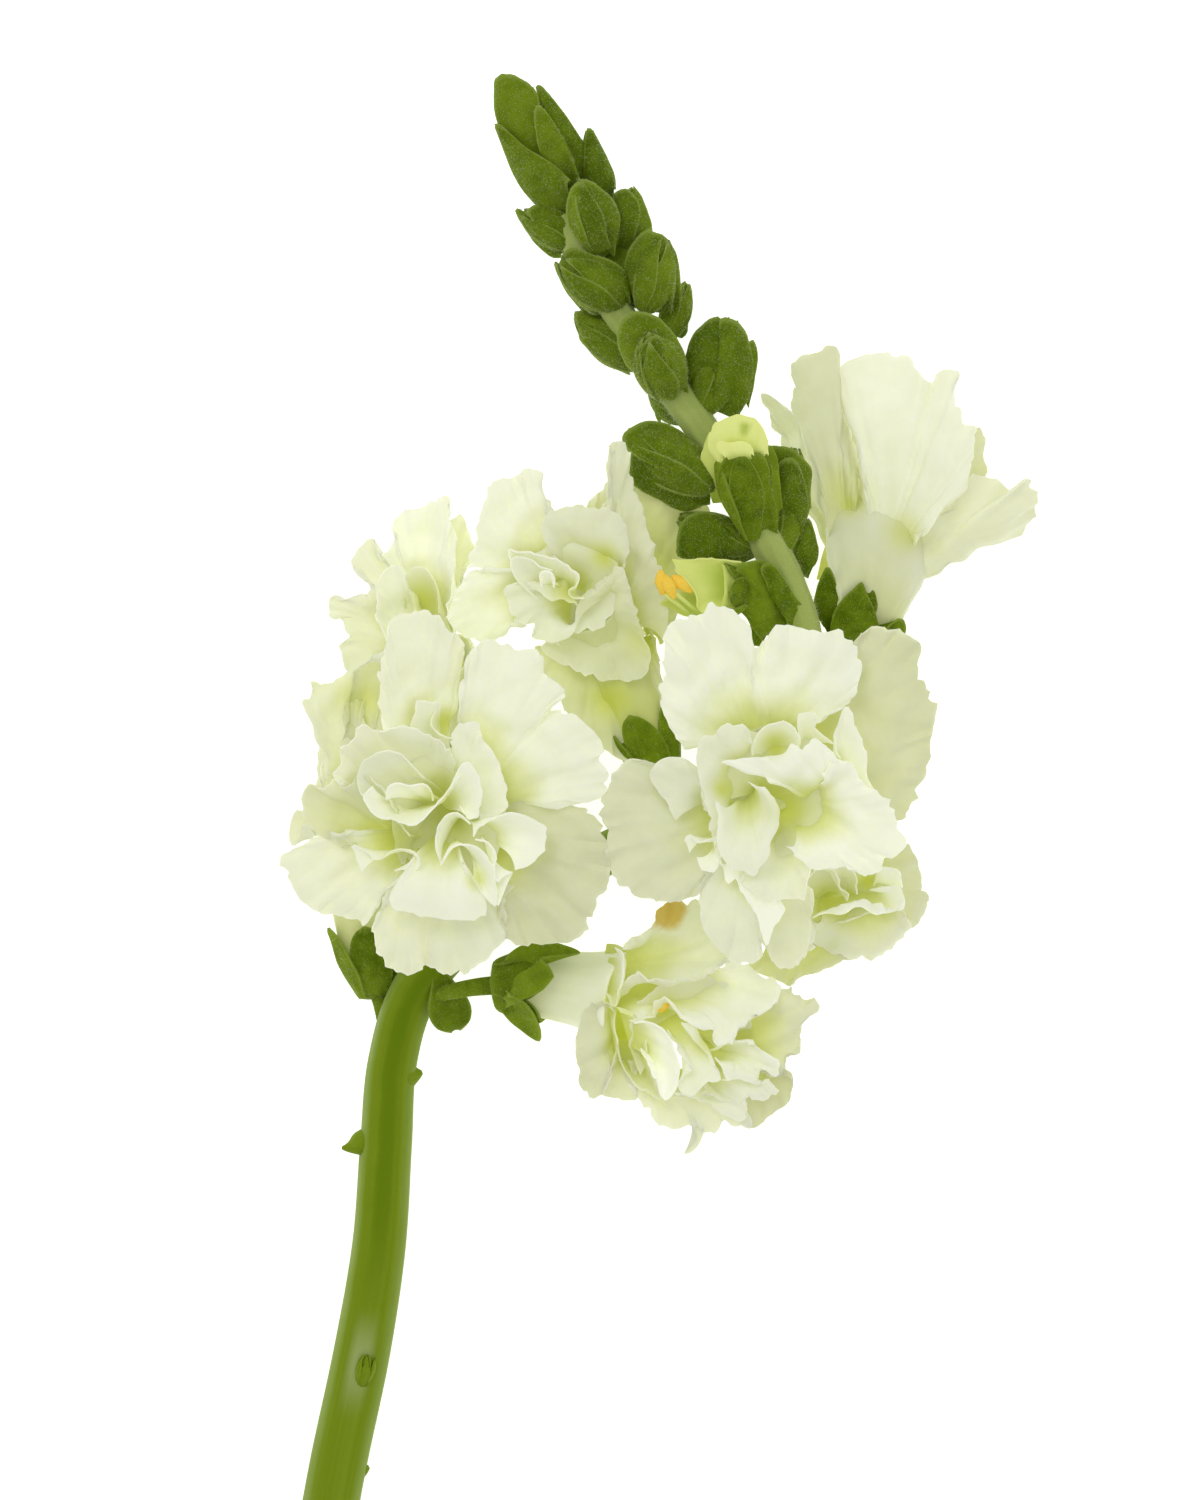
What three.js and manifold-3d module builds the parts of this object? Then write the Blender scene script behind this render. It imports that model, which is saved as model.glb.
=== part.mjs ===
// A cut stem of double-flowered snapdragon, lying on a flat surface.
// Millimetres. +Z is up from the surface, +Y runs from the cut end to the tip of the
// bud spike, and +X is to the right seen from above. The origin is on the surface,
// under the middle of the object's box.
//
// Every bloom is a pedicel and calyx (green) and a corolla: a tube whose mouth carries
// a whorl of spreading lobes round several smaller frilled petals. A petal is a flat
// fan, bent along its length, cupped across it and waved along its rim.

import * as THREE from "three";
import { mergeVertices } from "three/addons/utils/BufferGeometryUtils.js";
import Module from "manifold-3d";

const wasm = await Module();
wasm.setup();

// ---------------------------------------------------------------- driving dimensions
const PETAL_THICK = 0.64; // a petal blade
const SEPAL_THICK = 0.62;
const CLEAR = 0.32; // gap kept between two pieces that touch
const CUP_GAP = 0.66; // between a tube and the calyx round it
const RAGGED = 0.05; // unevenness of a petal's rim
const SPREAD_LIMIT = 105; // degrees of a petal's round head on each side of its middle
const TUBE_SIDES = 8;
const STEM_SIDES = 10;
const STEM_RINGS = 25;
const STALK_SIDES = 6;
const STALK_RADIUS = [0.95, 1.35]; // at its root and where it meets the flower
const THREAD_SIDES = 5;
const FILAMENT_RADIUS = 0.42;
const ANTHER_SIZE = [1.5, 0.85, 0.8];
const STUB_SIDES = 5;
const STUB_ROOT = 1.6; // how far a stub's root is sunk in the stem
const CALYX_LONG = 8.5;
const SEPAL_FLARE = 0.5; // how far the tip of a sepal stands away from the tube
// the calyx cup below its sepals: share of the calyx length, radius
const CUP = [[-0.17, 0.95], [-0.1, 2.9]];
// its rim at one sepal: degrees from the sepal's middle, height of the rim
const RIM = [[-36, 0.56], [-16, 0.88], [14, 1]];
const BUD_SHARES = [0.02, 0.25, 0.6, 0.9]; // where a bud's rings are
const FOLDED_TIP = 0.09; // how far a sepal's point reaches past the last ring of its bud
const BRACT_STANDS = 1.9; // a bract's height and length against a sepal's
// radius of a corolla tube against the share of its length, outside and down the throat
const TUBE_OUTSIDE = [[0.02, 2.5], [0.16, 3.7], [0.4, 4.2], [0.7, 4.8], [1, 6.1]];
const TUBE_INSIDE = [[1, 5.3], [0.78, 4.1], [0.5, 3.2]];

const GREENS = { stem: 0x7d9a3c, calyx: 0x6d8f2a, bud: 0x6a8a2b };
const CREAM = 0xeef0d2;
const YOUNG = 0xc4cf78;
const ANTHER = 0xf0a52c;
const ROUGHNESS = 0.6;

const at = (x, y, z) => new THREE.Vector3(x, y, z);
const rad = THREE.MathUtils.degToRad;
const mix = THREE.MathUtils.lerp;
const UP = at(0, 0, 1);
const ORIGIN = [1.5, 0.2]; // moves the layout so that the box's middle is over the origin
const hump = (share) => Math.max(0, Math.sin(Math.PI * share)); // 0 at both ends

// ---------------------------------------------------------------- layout of the stem
// The middle line from the cut end to the spike, each point with the radius there.
const STEM = [
  [at(-47.9, -104.6, 3.8), 4.1],
  [at(-45.4, -91.0, 4.7), 4.05],
  [at(-42.0, -75.0, 5.8), 3.95],
  [at(-39.6, -60.2, 7.2), 3.8],
  [at(-38.6, -46.2, 9.2), 3.65],
  [at(-37.6, -34.0, 11.6), 3.5],
  [at(-34.2, -23.8, 13.8), 3.4],
  [at(-26.0, -14.8, 16.0), 3.3],
  [at(-14.0, -8.0, 17.6), 3.1],
  [at(-1.0, -1.4, 18.6), 3.0],
  [at(9.4, 6.0, 19.8), 2.9],
  [at(17.4, 14.6, 21.4), 2.75],
  [at(20.2, 24.2, 23.4), 2.65],
  [at(17.6, 33.4, 25.8), 2.6],
  [at(12.6, 43.4, 27.2), 2.4],
  [at(7.0, 53.0, 27.8), 2.15],
  [at(0.4, 62.2, 28.0), 1.9],
  [at(-6.2, 71.4, 27.8), 1.6],
  [at(-11.4, 80.4, 27.4), 1.3],
  [at(-13.6, 84.6, 27.2), 1.1],
];

// Lumps left where leaves were taken off: place, direction, radius, height.
const STUBS = [
  [at(-42.2, -45.6, 9.4), at(-1, -0.3, 0.1), 1.9, 2.6],
  [at(-35.2, -35.8, 11.6), at(1, 0.1, 0.1), 1.7, 0.9],
  [at(-41.9, -77.8, 9.0), at(0.1, 0.25, 1), 1.9, 1.0],
  [at(-41.8, -91.8, 4.8), at(1, 0.1, 0.1), 1.7, 0.8],
];

// ---------------------------------------------------------------- layout of the buds
// root and tip of each bud, its width and the side its bract is on (degrees round it).
const BUDS = [
  { name: "bud_01", root: at(-8.8, 80.0, 29.0), tip: at(-11.1, 89.6, 33.0), wide: 6.6, bract: 0 },
  { name: "bud_02", root: at(-11.7, 80.4, 27.0), tip: at(-19.4, 85.2, 26.0), wide: 5.8, bract: 250 },
  { name: "bud_03", root: at(-6.4, 79.6, 27.0), tip: at(-3.6, 88.6, 26.0), wide: 5.2, bract: 110 },
  { name: "bud_04", root: at(-5.2, 71.9, 29.0), tip: at(-14.1, 78.3, 30.4), wide: 8.0, bract: 250 },
  { name: "bud_05", root: at(-2.2, 70.8, 29.0), tip: at(0.7, 81.4, 30.4), wide: 7.2, bract: 110 },
  { name: "bud_06", root: at(0.8, 67.2, 26.2), tip: at(3.8, 75.4, 23.4), wide: 5.2, bract: 110 },
  { name: "bud_07", root: at(-2.6, 63.4, 27.0), tip: at(-11.8, 71.0, 24.8), wide: 7.4, bract: 250 },
  { name: "bud_08", root: at(1.4, 59.2, 28.6), tip: at(-1.6, 68.0, 36.0), wide: 9.0, bract: 200 },
  { name: "bud_09", root: at(5.8, 56.6, 27.4), tip: at(10.2, 70.4, 26.4), wide: 9.0, bract: 100 },
  { name: "bud_10", root: at(3.8, 56.0, 25.4), tip: at(-1.2, 60.2, 19.4), wide: 5.0, bract: 220 },
  { name: "bud_11", root: at(7.6, 46.4, 29.4), tip: at(-5.0, 54.2, 29.2), wide: 9.8, bract: 250 },
  { name: "bud_12", root: at(17.0, 36.6, 26.2), tip: at(19.0, 52.4, 24.0), wide: 7.0, bract: 90 },
  { name: "bud_13", root: at(13.0, 38.0, 26.6), tip: at(2.4, 42.4, 26.0), wide: 7.0, bract: 250 },
];

// The young buds of the tip, grown together.
const TIP_BUDS = [
  { root: at(-14.6, 86.6, 27.4), tip: at(-22.0, 104.6, 27.2), wide: 5.6 },
  { root: at(-13.6, 88.8, 28.2), tip: at(-18.6, 103.0, 28.8), wide: 5.0, turn: 30 },
  { root: at(-11.2, 89.6, 27.2), tip: at(-16.4, 102.2, 26.4), wide: 4.6 },
  { root: at(-12.4, 86.2, 28.0), tip: at(-23.0, 97.6, 27.0), wide: 5.6, turn: 20 },
  { root: at(-9.2, 86.4, 27.2), tip: at(-9.9, 97.0, 27.0), wide: 4.2 },
  { root: at(-12.6, 86.6, 26.6), tip: at(-18.6, 99.4, 24.0), wide: 4.8 },
];

// ---------------------------------------------------------------- layout of the blooms
// mouth, facing: the middle of the tube's mouth and its axis; top: the side that petals
// are counted from, anticlockwise as the mouth is looked into; base, rise: where the
// tube starts and leaves for; stalk: the point of the stem the pedicel leaves.
const BLOOMS = [
  {
    name: "front_left",
    mouth: at(-28.7, 1.4, 41), facing: at(-0.1, 0.08, 1),
    base: at(-23.2, -7.2, 22.6), rise: at(-0.3, 0.45, 1), stalk: at(-19.4, -10.8, 16.6),
    petals: [
      petal(10, 22, 14, [62, 88], { cup: 16, frill: 1.1, waves: 2 }),
      petal(-40, 23, 27, [50, 88], { cup: 8, frill: 1.5, notch: 0.14, notchAt: -0.35 }),
      petal(-122, 19.5, 22, [60, 95], { cup: 8 }),
      petal(177, 18, 19, [34, 128], { cup: -14, notch: 0.1, notchAt: 0.1 }),
      petal(118, 20, 19, [64, 96], { cup: 4 }),
      petal(73, 17, 19, [45, 78], { cup: 38, frill: 1.4, waves: 4 }),
      frill(36, 16, 17, [12, 58], { cup: 40, waves: 3 }),
      frill(-34, 19, 10, [2, 24], { cup: 30 }),
      frill(85, 13, 10, [8, 40], { cup: 50 }),
      frill(168, 16, 11, [12, 100], { cup: 16 }),
      frill(-134, 18, 12, [14, 112], { cup: -16 }),
    ],
  },
  {
    name: "front_right",
    mouth: at(14.7, 6.3, 42), facing: at(0.04, -0.2, 1),
    base: at(14.2, 9.0, 25.0), rise: at(-0.05, -0.1, 1), stalk: at(13.2, 9.6, 20.6),
    petals: [
      petal(2, 22.5, 28, [52, 84], { cup: 8, notch: 0.2, notchAt: 0.04 }),
      petal(-66, 20.5, 24, [78, 98], { cup: 12, frill: 1.0, waves: 2 }),
      petal(116, 18.5, 20, [66, 94], { cup: 8, waves: 2 }),
      petal(84, 13, 10, [50, 82], { cup: 16, frill: 0.7, waves: 1 }),
      petal(166, 22, 14, [56, 84], { cup: 12, waves: 2 }),
      petal(-170, 19.5, 11, [60, 90], { cup: 8, waves: 2 }),
      frill(112, 17, 17, [4, 62], { cup: 24, frill: 1.4, waves: 3 }),
      frill(4, 13, 15, [2, 34], { cup: 8, frill: 1.4, waves: 3 }),
      frill(-58, 19, 11, [8, 50], { cup: 32 }),
      petal(-124, 18, 22, [48, 80], { root: 4.8, drop: 2.6, neck: 6, cup: -8, waves: 4 }),
      petal(156, 14, 14, [46, 88], { root: 4.8, drop: 2.6, neck: 5, cup: 6, waves: 4 }),
    ],
  },
  {
    name: "right_low",
    mouth: at(23.6, -7.2, 23), facing: at(0.44, -0.55, 0.66),
    base: at(14.8, 3.6, 15.6), rise: at(0.62, -0.7, 0.4), stalk: at(12.0, 7.0, 19.6),
    petals: [
      petal(-56, 13.5, 15, [60, 90], { cup: 10, waves: 2, fine: [4, 2] }),
      petal(-124, 15, 18, [50, 80], { cup: 12 }),
      petal(166, 16.5, 17, [56, 92], { cup: 8, waves: 2, fine: [4, 2] }),
      petal(84, 14, 14, [56, 90], { cup: 8, waves: 2, fine: [4, 2] }),
      frill(-96, 14, 13, [4, 50], { cup: 26 }),
      frill(146, 14, 12, [4, 46], { cup: 26 }),
    ],
  },
  {
    name: "low_right",
    mouth: at(-2.0, -25.6, 26), facing: at(0.84, -0.14, 0.5),
    base: at(-22.4, -23.2, 22.0), rise: at(1, 0.05, 0.12), stalk: at(-34.6, -25.4, 13.6), scale: 1.14,
    bract: { foot: at(-31.0, -21.6, 16.8), tip: at(-28.8, -29.6, 15.0), half: 3.0 },
    petals: [
      petal(-8, 19, 22, [42, 52], { cup: 30, waves: 2 }),
      petal(122, 15, 13, [74, 124], { cup: 8, waves: 2 }),
      petal(176, 18, 19, [40, 56], { cup: 24 }),
      petal(-128, 24, 19, [34, 50], { cup: 12, waves: 4 }),
      petal(-64, 25, 20, [34, 50], { cup: 12, waves: 4 }),
      frill(28, 21, 17, [0, 26], { cup: 16, waves: 3 }),
      frill(-176, 18, 11, [2, 40], { cup: 34 }),
      frill(-96, 20, 13, [0, 20], { cup: 30, waves: 4 }),
    ],
  },
  {
    name: "top_right",
    mouth: at(32.2, 42.6, 17.6), facing: at(0.18, 0.96, 0.08), top: UP,
    base: at(26.6, 27.6, 18.6), rise: at(0.25, 1, 0), stalk: at(20.0, 23.0, 23.0),
    petals: [
      petal(14, 24, 27, [4, 20], { cup: 26 }),
      petal(-48, 24, 17, [8, 18], { cup: 16 }),
      petal(-104, 20, 10, [24, 52], { cup: 26, waves: 1, fine: [3, 3] }),
      petal(64, 23, 19, [12, 42], { cup: 14 }),
      petal(112, 19, 17, [48, 108], { cup: -6, curl: -50, waves: 2 }),
      petal(180, 22, 24, [20, 60], { cup: 14, fine: [4, 2] }),
    ],
  },
  {
    name: "middle_top",
    mouth: at(-11.9, 33.2, 31), facing: at(-0.3, 0.26, 0.9),
    base: at(0.0, 8.6, 21.4), rise: at(-0.25, 0.9, 0.2), stalk: at(2.8, 1.2, 18.6),
    petals: [
      petal(70, 15.5, 17, [60, 90], { cup: 12 }),
      petal(30, 15, 13, [58, 84], { cup: 14 }),
      petal(-24, 19, 12, [42, 66], { cup: 16 }),
      petal(-64, 18, 18, [70, 102], { cup: 8, waves: 2 }),
      petal(-138, 16.5, 18, [54, 100], { cup: -8, frill: 0.9, waves: 2 }),
      petal(160, 10, 13, [56, 84], { cup: 16, waves: 2 }),
      frill(-6, 14, 12, [6, 56], { cup: 20, frill: 0.6, waves: 1 }),
      frill(95, 11, 10, [6, 52], { cup: 36 }),
    ],
  },
  {
    name: "left_top",
    mouth: at(-32.4, 23.4, 20), facing: at(-0.46, 0.66, 0.58),
    base: at(-23.6, 6.0, 15.6), rise: at(-0.32, 1, 0.1), stalk: at(-13.4, -7.6, 17.2),
    petals: [
      petal(-14, 19, 19, [50, 74], { cup: 16, waves: 4 }),
      petal(50, 14, 16, [56, 88], { cup: 12, waves: 4 }),
      petal(112, 12, 15, [56, 88], { cup: 10 }),
      petal(-150, 15, 19, [56, 88], { cup: 10 }),
      frill(20, 14, 12, [4, 44], { cup: 30 }),
    ],
  },
  {
    name: "far_left",
    mouth: at(-43.0, 1.0, 11.5), facing: at(-0.1, 0.98, 0.16), top: UP,
    base: at(-39.8, -23.6, 10.2), rise: at(-0.28, 1, 0), stalk: at(-37.8, -36.6, 10.8),
    petals: [
      petal(-10, 20, 18, [2, 16], { cup: 18, fine: [4, 2] }),
      petal(-90, 18, 15, [0, 22], { cup: 12, fine: [4, 2] }),
      petal(86, 17, 16, [10, 34], { cup: 12, fine: [4, 2] }),
      petal(180, 18, 18, [14, 50], { cup: 12, fine: [4, 2] }),
    ],
  },
  {
    name: "torn_young",
    scale: 0.66,
    mouth: at(3.8, 32.6, 31.4), facing: at(-0.96, 0.16, 0.16), top: UP,
    base: at(11.6, 31.6, 29.0), rise: at(-0.9, 0.1, 0.35), stalk: at(17.6, 31.4, 25.0),
    color: YOUNG,
    filaments: [
      [at(9.6, 32.3, 30.2), at(0.9, 33.2, 32.4)],
      [at(9.6, 31.5, 30.2), at(2.0, 32.0, 32.3)],
    ],
    petals: [
      petal(14, 6, 6.5, [0, 16], { root: 3.7, drop: 0.6, frill: 0.3, waves: 2, fine: [3, 2] }),
      petal(-90, 5, 6, [0, 20], { root: 3.7, drop: 0.6, frill: 0.3, waves: 2, fine: [3, 2] }),
    ],
  },
];

// The bud that is opening: pale petals, still folded, in a calyx.
const OPENING = {
  root: at(12.6, 41.4, 29.2), tip: at(10.4, 56.4, 33.4), wide: 8.2, turn: 36,
  stalk: at(12.0, 44.0, 26.2),
  calyx: { long: 0.72, knee: 0.34, size: 0.9, clear: 0.5, blunt: 0.12 },
};

// The two anthers of the torn flower: place and degrees that each is turned.
const ANTHERS = [
  [at(0.4, 33.4, 32.6), 100],
  [at(1.5, 32.2, 32.4), 124],
];

// ---------------------------------------------------------------- solids
// A closed geometry as a manifold-3d solid, with its faces pointing out.
function solid(geometry) {
  const bare = geometry.clone();
  bare.deleteAttribute("normal");
  bare.deleteAttribute("uv");
  const merged = mergeVertices(bare, 1e-4);
  const triVerts = new Uint32Array(merged.index.array);
  const build = () =>
    new wasm.Manifold(
      new wasm.Mesh({
        numProp: 3,
        vertProperties: merged.attributes.position.array,
        triVerts,
      }),
    );
  const made = build();
  if (made.volume() >= 0) return made;
  for (let i = 0; i < triVerts.length; i += 3) {
    [triVerts[i + 1], triVerts[i + 2]] = [triVerts[i + 2], triVerts[i + 1]];
  }
  return build();
}

const join = (solids) => solids.reduce((sum, next) => sum.add(next));

// The largest connected body of a solid: what a cut leaves loose is dropped.
function largest(cut) {
  return cut.decompose().sort((a, b) => b.volume() - a.volume())[0];
}

// A named mesh from a solid.
function node(name, body, color) {
  const mesh = body.getMesh();
  const positions = new Float32Array(mesh.numVert * 3);
  for (let i = 0; i < mesh.numVert; i++) {
    positions.set(mesh.vertProperties.subarray(i * mesh.numProp, i * mesh.numProp + 3), i * 3);
  }
  const geometry = new THREE.BufferGeometry();
  geometry.setAttribute("position", new THREE.BufferAttribute(positions, 3));
  geometry.setIndex(new THREE.BufferAttribute(mesh.triVerts, 1));
  geometry.computeVertexNormals();
  const material = new THREE.MeshStandardMaterial({ color, roughness: ROUGHNESS });
  const made = new THREE.Mesh(geometry, material);
  made.name = name;
  return made;
}

// A closed skin over rings of points, each ring with as many points, with a middle
// point closing each end.
function skin(rings) {
  const sides = rings[0].length;
  const points = rings.flat();
  const middle = (ring) =>
    ring.reduce((sum, p) => sum.add(p), at(0, 0, 0)).divideScalar(sides);
  points.push(middle(rings[0]), middle(rings[rings.length - 1]));
  const [start, end] = [points.length - 2, points.length - 1];
  const index = [];
  const last = (rings.length - 1) * sides;
  for (let j = 0; j < sides; j++) {
    const k = (j + 1) % sides;
    index.push(start, k, j, end, last + j, last + k);
    for (let i = 0; i < last; i += sides) {
      index.push(i + j, i + k, i + sides + k, i + j, i + sides + k, i + sides + j);
    }
  }
  const geometry = new THREE.BufferGeometry().setFromPoints(points);
  geometry.setIndex(index);
  return geometry;
}

// A thin blade over a surface point(s, t), s from -1 to 1 across and t from 0 to 1
// along. Both faces have the same diagonals, so they never cross.
function blade(point, columns, rows, thickness) {
  const near = 0.02;
  const faces = [[], []];
  for (let i = 0; i <= rows; i++) {
    for (let j = 0; j <= columns; j++) {
      const [s, t] = [(2 * j) / columns - 1, i / rows];
      const across = point(s + near, t).sub(point(s - near, t));
      const along = point(s, t + near).sub(point(s, t - near));
      const half = across.cross(along).setLength(thickness / 2);
      faces[0].push(point(s, t).add(half));
      faces[1].push(point(s, t).sub(half));
    }
  }
  const wide = columns + 1;
  const back = faces[0].length;
  const index = [];
  const quad = (a, b, c, d) => index.push(a, b, c, a, c, d);
  for (let i = 0; i < rows; i++) {
    for (let j = 0; j < columns; j++) {
      const a = i * wide + j;
      index.push(a, a + 1, a + wide + 1, a, a + wide + 1, a + wide);
      const b = a + back;
      index.push(b, b + wide + 1, b + 1, b, b + wide, b + wide + 1);
    }
  }
  const top = rows * wide;
  for (let j = 0; j < columns; j++) {
    quad(j, j + back, j + 1 + back, j + 1);
    quad(top + j, top + j + 1, top + j + 1 + back, top + j + back);
  }
  for (let i = 0; i < rows; i++) {
    const a = i * wide;
    quad(a, a + wide, a + wide + back, a + back);
    quad(a + columns, a + columns + back, a + wide + columns + back, a + wide + columns);
  }
  const geometry = new THREE.BufferGeometry().setFromPoints([...faces[0], ...faces[1]]);
  geometry.setIndex(index);
  return geometry;
}

// ---------------------------------------------------------------- petals
// One petal of a bloom. turn: degrees round the bloom's axis. length, width: the flat
// fan. open: degrees from the axis at the root and at the tip. The rest have defaults:
//   root, drop   radius and depth of the root below the mouth
//   neck         width of the root
//   curl         degrees added at the very tip
//   cup          degrees that each side turns up (negative: rolls back), never 0
//   frill, waves height and number of the waves along the rim
//   notch        share of the rim's radius cut in at the middle, at notchAt (-1 to 1)
//   fine         columns and rows of the solid's blade
function petal(turn, length, width, open, more = {}) {
  return {
    turn, length, width, open,
    root: 5.7, drop: 0.8, neck: width * 0.15, curl: 0, cup: 12,
    frill: 1.3, waves: 3, notch: 0, notchAt: 0, fine: [4, 3],
    ...more,
  };
}

// A smaller petal that stands on the wall of the throat, inside the whorl.
function frill(turn, length, width, open, more = {}) {
  return petal(turn, length, width, open, {
    root: 4.1, drop: 3.8, neck: 4, frill: 1.0, waves: 2, fine: [3, 2], ...more,
  });
}

// A point of a petal in its bloom's frame: +Z is the bloom's axis, out of the mouth.
function petalPoint(p, s, t, grow = 0) {
  const [long, half] = [p.length + grow, p.width / 2 + grow];
  const head = Math.min(half, 0.58 * long);
  const theta = rad(SPREAD_LIMIT) * s;
  const dip = 1 - p.notch * Math.exp(-(((s - p.notchAt) / 0.2) ** 2));
  const phase = 0.11 * p.turn + 0.7 * p.length;
  const torn = dip * (1 + RAGGED * Math.sin(4.7 * theta + 1.7 * phase));
  const rimX = half * Math.sin(theta) * torn;
  const rimY = long - head + head * Math.cos(theta) * torn;
  const x = mix((p.neck / 2 + grow) * s, rimX, t);
  const y = rimY * t;

  // the middle line: the angle from the axis runs from open[0] to open[1]
  const steps = 8;
  const angle = (q) => rad(p.open[0] + (p.open[1] - p.open[0]) * q + p.curl * q ** 4);
  let [out, up] = [p.root, -p.drop];
  for (let i = 0; i < steps; i++) {
    const a = angle(((i + 0.5) / steps) * (y / long));
    out += (Math.sin(a) * y) / steps;
    up += (Math.cos(a) * y) / steps;
  }
  const a = angle(y / long);
  const wave =
    0.65 * Math.sin(Math.PI * p.waves * s + phase) +
    0.35 * Math.sin(Math.PI * (1.6 * p.waves + 1) * s + 2.3 * phase);
  const bend = rad(p.cup) / half;
  const across = Math.sin(bend * x) / bend;
  const rise = (1 - Math.cos(bend * x)) / bend + p.frill * t ** 2 * wave;
  out -= rise * Math.cos(a);
  up += rise * Math.sin(a);
  const [c, d] = [Math.cos(rad(p.turn)), Math.sin(rad(p.turn))];
  return at(out * c - across * d, out * d + across * c, up);
}

// ---------------------------------------------------------------- paths
// A path through space. Its rings start from the side that `side` points to.
class Way {
  constructor(curve, side) {
    this.curve = curve;
    this.side = side.clone().normalize();
    this.length = curve.getLength();
  }

  frame(u) {
    const held = THREE.MathUtils.clamp(u, 0, 1);
    const tangent = this.curve.getTangent(held);
    const point = this.curve.getPoint(held).addScaledVector(tangent, (u - held) * this.length);
    const normal = this.side.clone().addScaledVector(tangent, -this.side.dot(tangent)).normalize();
    return { point, tangent, normal, binormal: tangent.clone().cross(normal) };
  }

  spot(u, turn, radius) {
    const { point, normal, binormal } = this.frame(u);
    return point
      .addScaledVector(normal, radius * Math.cos(turn))
      .addScaledVector(binormal, radius * Math.sin(turn));
  }

  ring(u, radius, sides) {
    return Array.from({ length: sides }, (_, k) =>
      this.spot(u, (2 * Math.PI * k) / sides, radius),
    );
  }

  // a closed skin through rings given as [share of the path, radius]
  tube(profile, sides) {
    return skin(profile.map(([u, radius]) => this.ring(u, radius, sides)));
  }
}

// A path from a start to an end that leaves and arrives in the given directions.
function bow(start, leave, end, arrive, side) {
  const reach = 0.38 * start.distanceTo(end);
  const first = start.clone().addScaledVector(leave.clone().normalize(), reach);
  const second = end.clone().addScaledVector(arrive.clone().normalize(), -reach);
  return new Way(new THREE.CubicBezierCurve3(start, first, second, end), side);
}

// A number read from a table of [share, value] pairs with straight lines between them.
function reading(table, u) {
  const next = table.findIndex(([share]) => share >= u);
  if (next === 0) return table[0][1];
  if (next < 0) return table[table.length - 1][1];
  const [[u0, v0], [u1, v1]] = [table[next - 1], table[next]];
  return mix(v0, v1, (u - u0) / (u1 - u0));
}

// ---------------------------------------------------------------- sepals and bracts
// The columns of a skin folded into five overlapping sepals: degrees from the sepal's
// middle, height over the skin, and how far the tip reaches (1 at the point).
const FOLDS = [
  [-35, 0, 0.3],
  [0, 0.45, 1],
  [34, 0.5, 0.3],
];
const SEPAL_TURNS = [0, 72, 144, 216, 288];

// ---------------------------------------------------------------- the stem
const stemCurve = new THREE.CatmullRomCurve3(
  STEM.map(([p]) => p),
  false,
  "catmullrom",
);
const stemWay = new Way(stemCurve, UP);
const stemRadius = (u) => reading(STEM.map(([, r], i) => [i / (STEM.length - 1), r]), u);

function stemSolid(grow) {
  const profile = Array.from({ length: STEM_RINGS + 1 }, (_, i) => [
    i / STEM_RINGS,
    stemRadius(i / STEM_RINGS) + grow,
  ]);
  const shaft = solid(stemWay.tube(profile, STEM_SIDES));
  return join([shaft, ...STUBS.map((s) => stub(s, grow))]);
}

// A lump where a leaf was taken off.
function stub([place, direction, radius, tall], grow) {
  const cone = new THREE.ConeGeometry(radius + grow, tall + STUB_ROOT + grow, STUB_SIDES);
  cone.translate(0, (tall + grow - STUB_ROOT) / 2, 0);
  cone.applyQuaternion(
    new THREE.Quaternion().setFromUnitVectors(at(0, 1, 0), direction.clone().normalize()),
  );
  return solid(cone.translate(place.x, place.y, place.z));
}

// ---------------------------------------------------------------- buds
const budRadius = (bud) => (u) =>
  (bud.wide / 2) * hump(THREE.MathUtils.clamp(u, 0, 1) ** 0.85) ** 0.7;

// The straight line of a bud, from its root to its tip.
function budWay({ root, tip }) {
  const along = tip.clone().sub(root).normalize();
  return bow(root, along, tip, along, Math.abs(along.z) > 0.7 ? at(0, 1, 0) : UP);
}

// A bud's skin: a core with its five sepals folded over one another. The one on the
// side of its bract stands further out and is longer.
function budSolid(bud, grow) {
  const way = budWay(bud);
  const radius = budRadius(bud);
  const folds = SEPAL_TURNS.flatMap((middle, i) => {
    const stands = i === 0 && bud.bract !== undefined ? BRACT_STANDS : 1;
    return FOLDS.map(([turn, lift, point]) => [
      rad(middle + turn + (bud.bract ?? bud.turn ?? 0)),
      lift * stands * (bud.wide / 8),
      FOLDED_TIP * point * stands,
    ]);
  });
  const last = BUD_SHARES.length - 1;
  const further = grow / way.length;
  const rings = BUD_SHARES.map((share, i) =>
    folds.map(([turn, lift, point]) => {
      const u = share + (i === last ? point + further : i === 0 ? -further : 0);
      return way.spot(u, turn, radius(share) + (i > 0 ? lift : 0) + grow);
    }),
  );
  return solid(skin(rings));
}

// A short stalk from a point in the stem to the root of a bud or flower.
function stalkSolid(from, to, arrive, grow) {
  const inside = to.clone().add(arrive.clone().normalize());
  const way = bow(from, to.clone().sub(from), inside, arrive, UP);
  const profile = [0, 0.5, 1].map((u) => [u, mix(...STALK_RADIUS, u) + grow]);
  return solid(way.tube(profile, STALK_SIDES));
}

// ---------------------------------------------------------------- blooms
// The bloom's own frame: +Z out of the mouth, +X to its top.
function bloomFrame({ mouth, facing, top = at(0, 1, 0) }) {
  const axis = facing.clone().normalize();
  const up = top.clone().addScaledVector(axis, -top.dot(axis)).normalize();
  const side = axis.clone().cross(up);
  return new THREE.Matrix4().makeBasis(up, side, axis).setPosition(mouth);
}

function tubeWay(bloom) {
  const up = new THREE.Vector3().setFromMatrixColumn(bloomFrame(bloom), 0);
  return bow(bloom.base, bloom.rise, bloom.mouth, bloom.facing, up);
}

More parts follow.
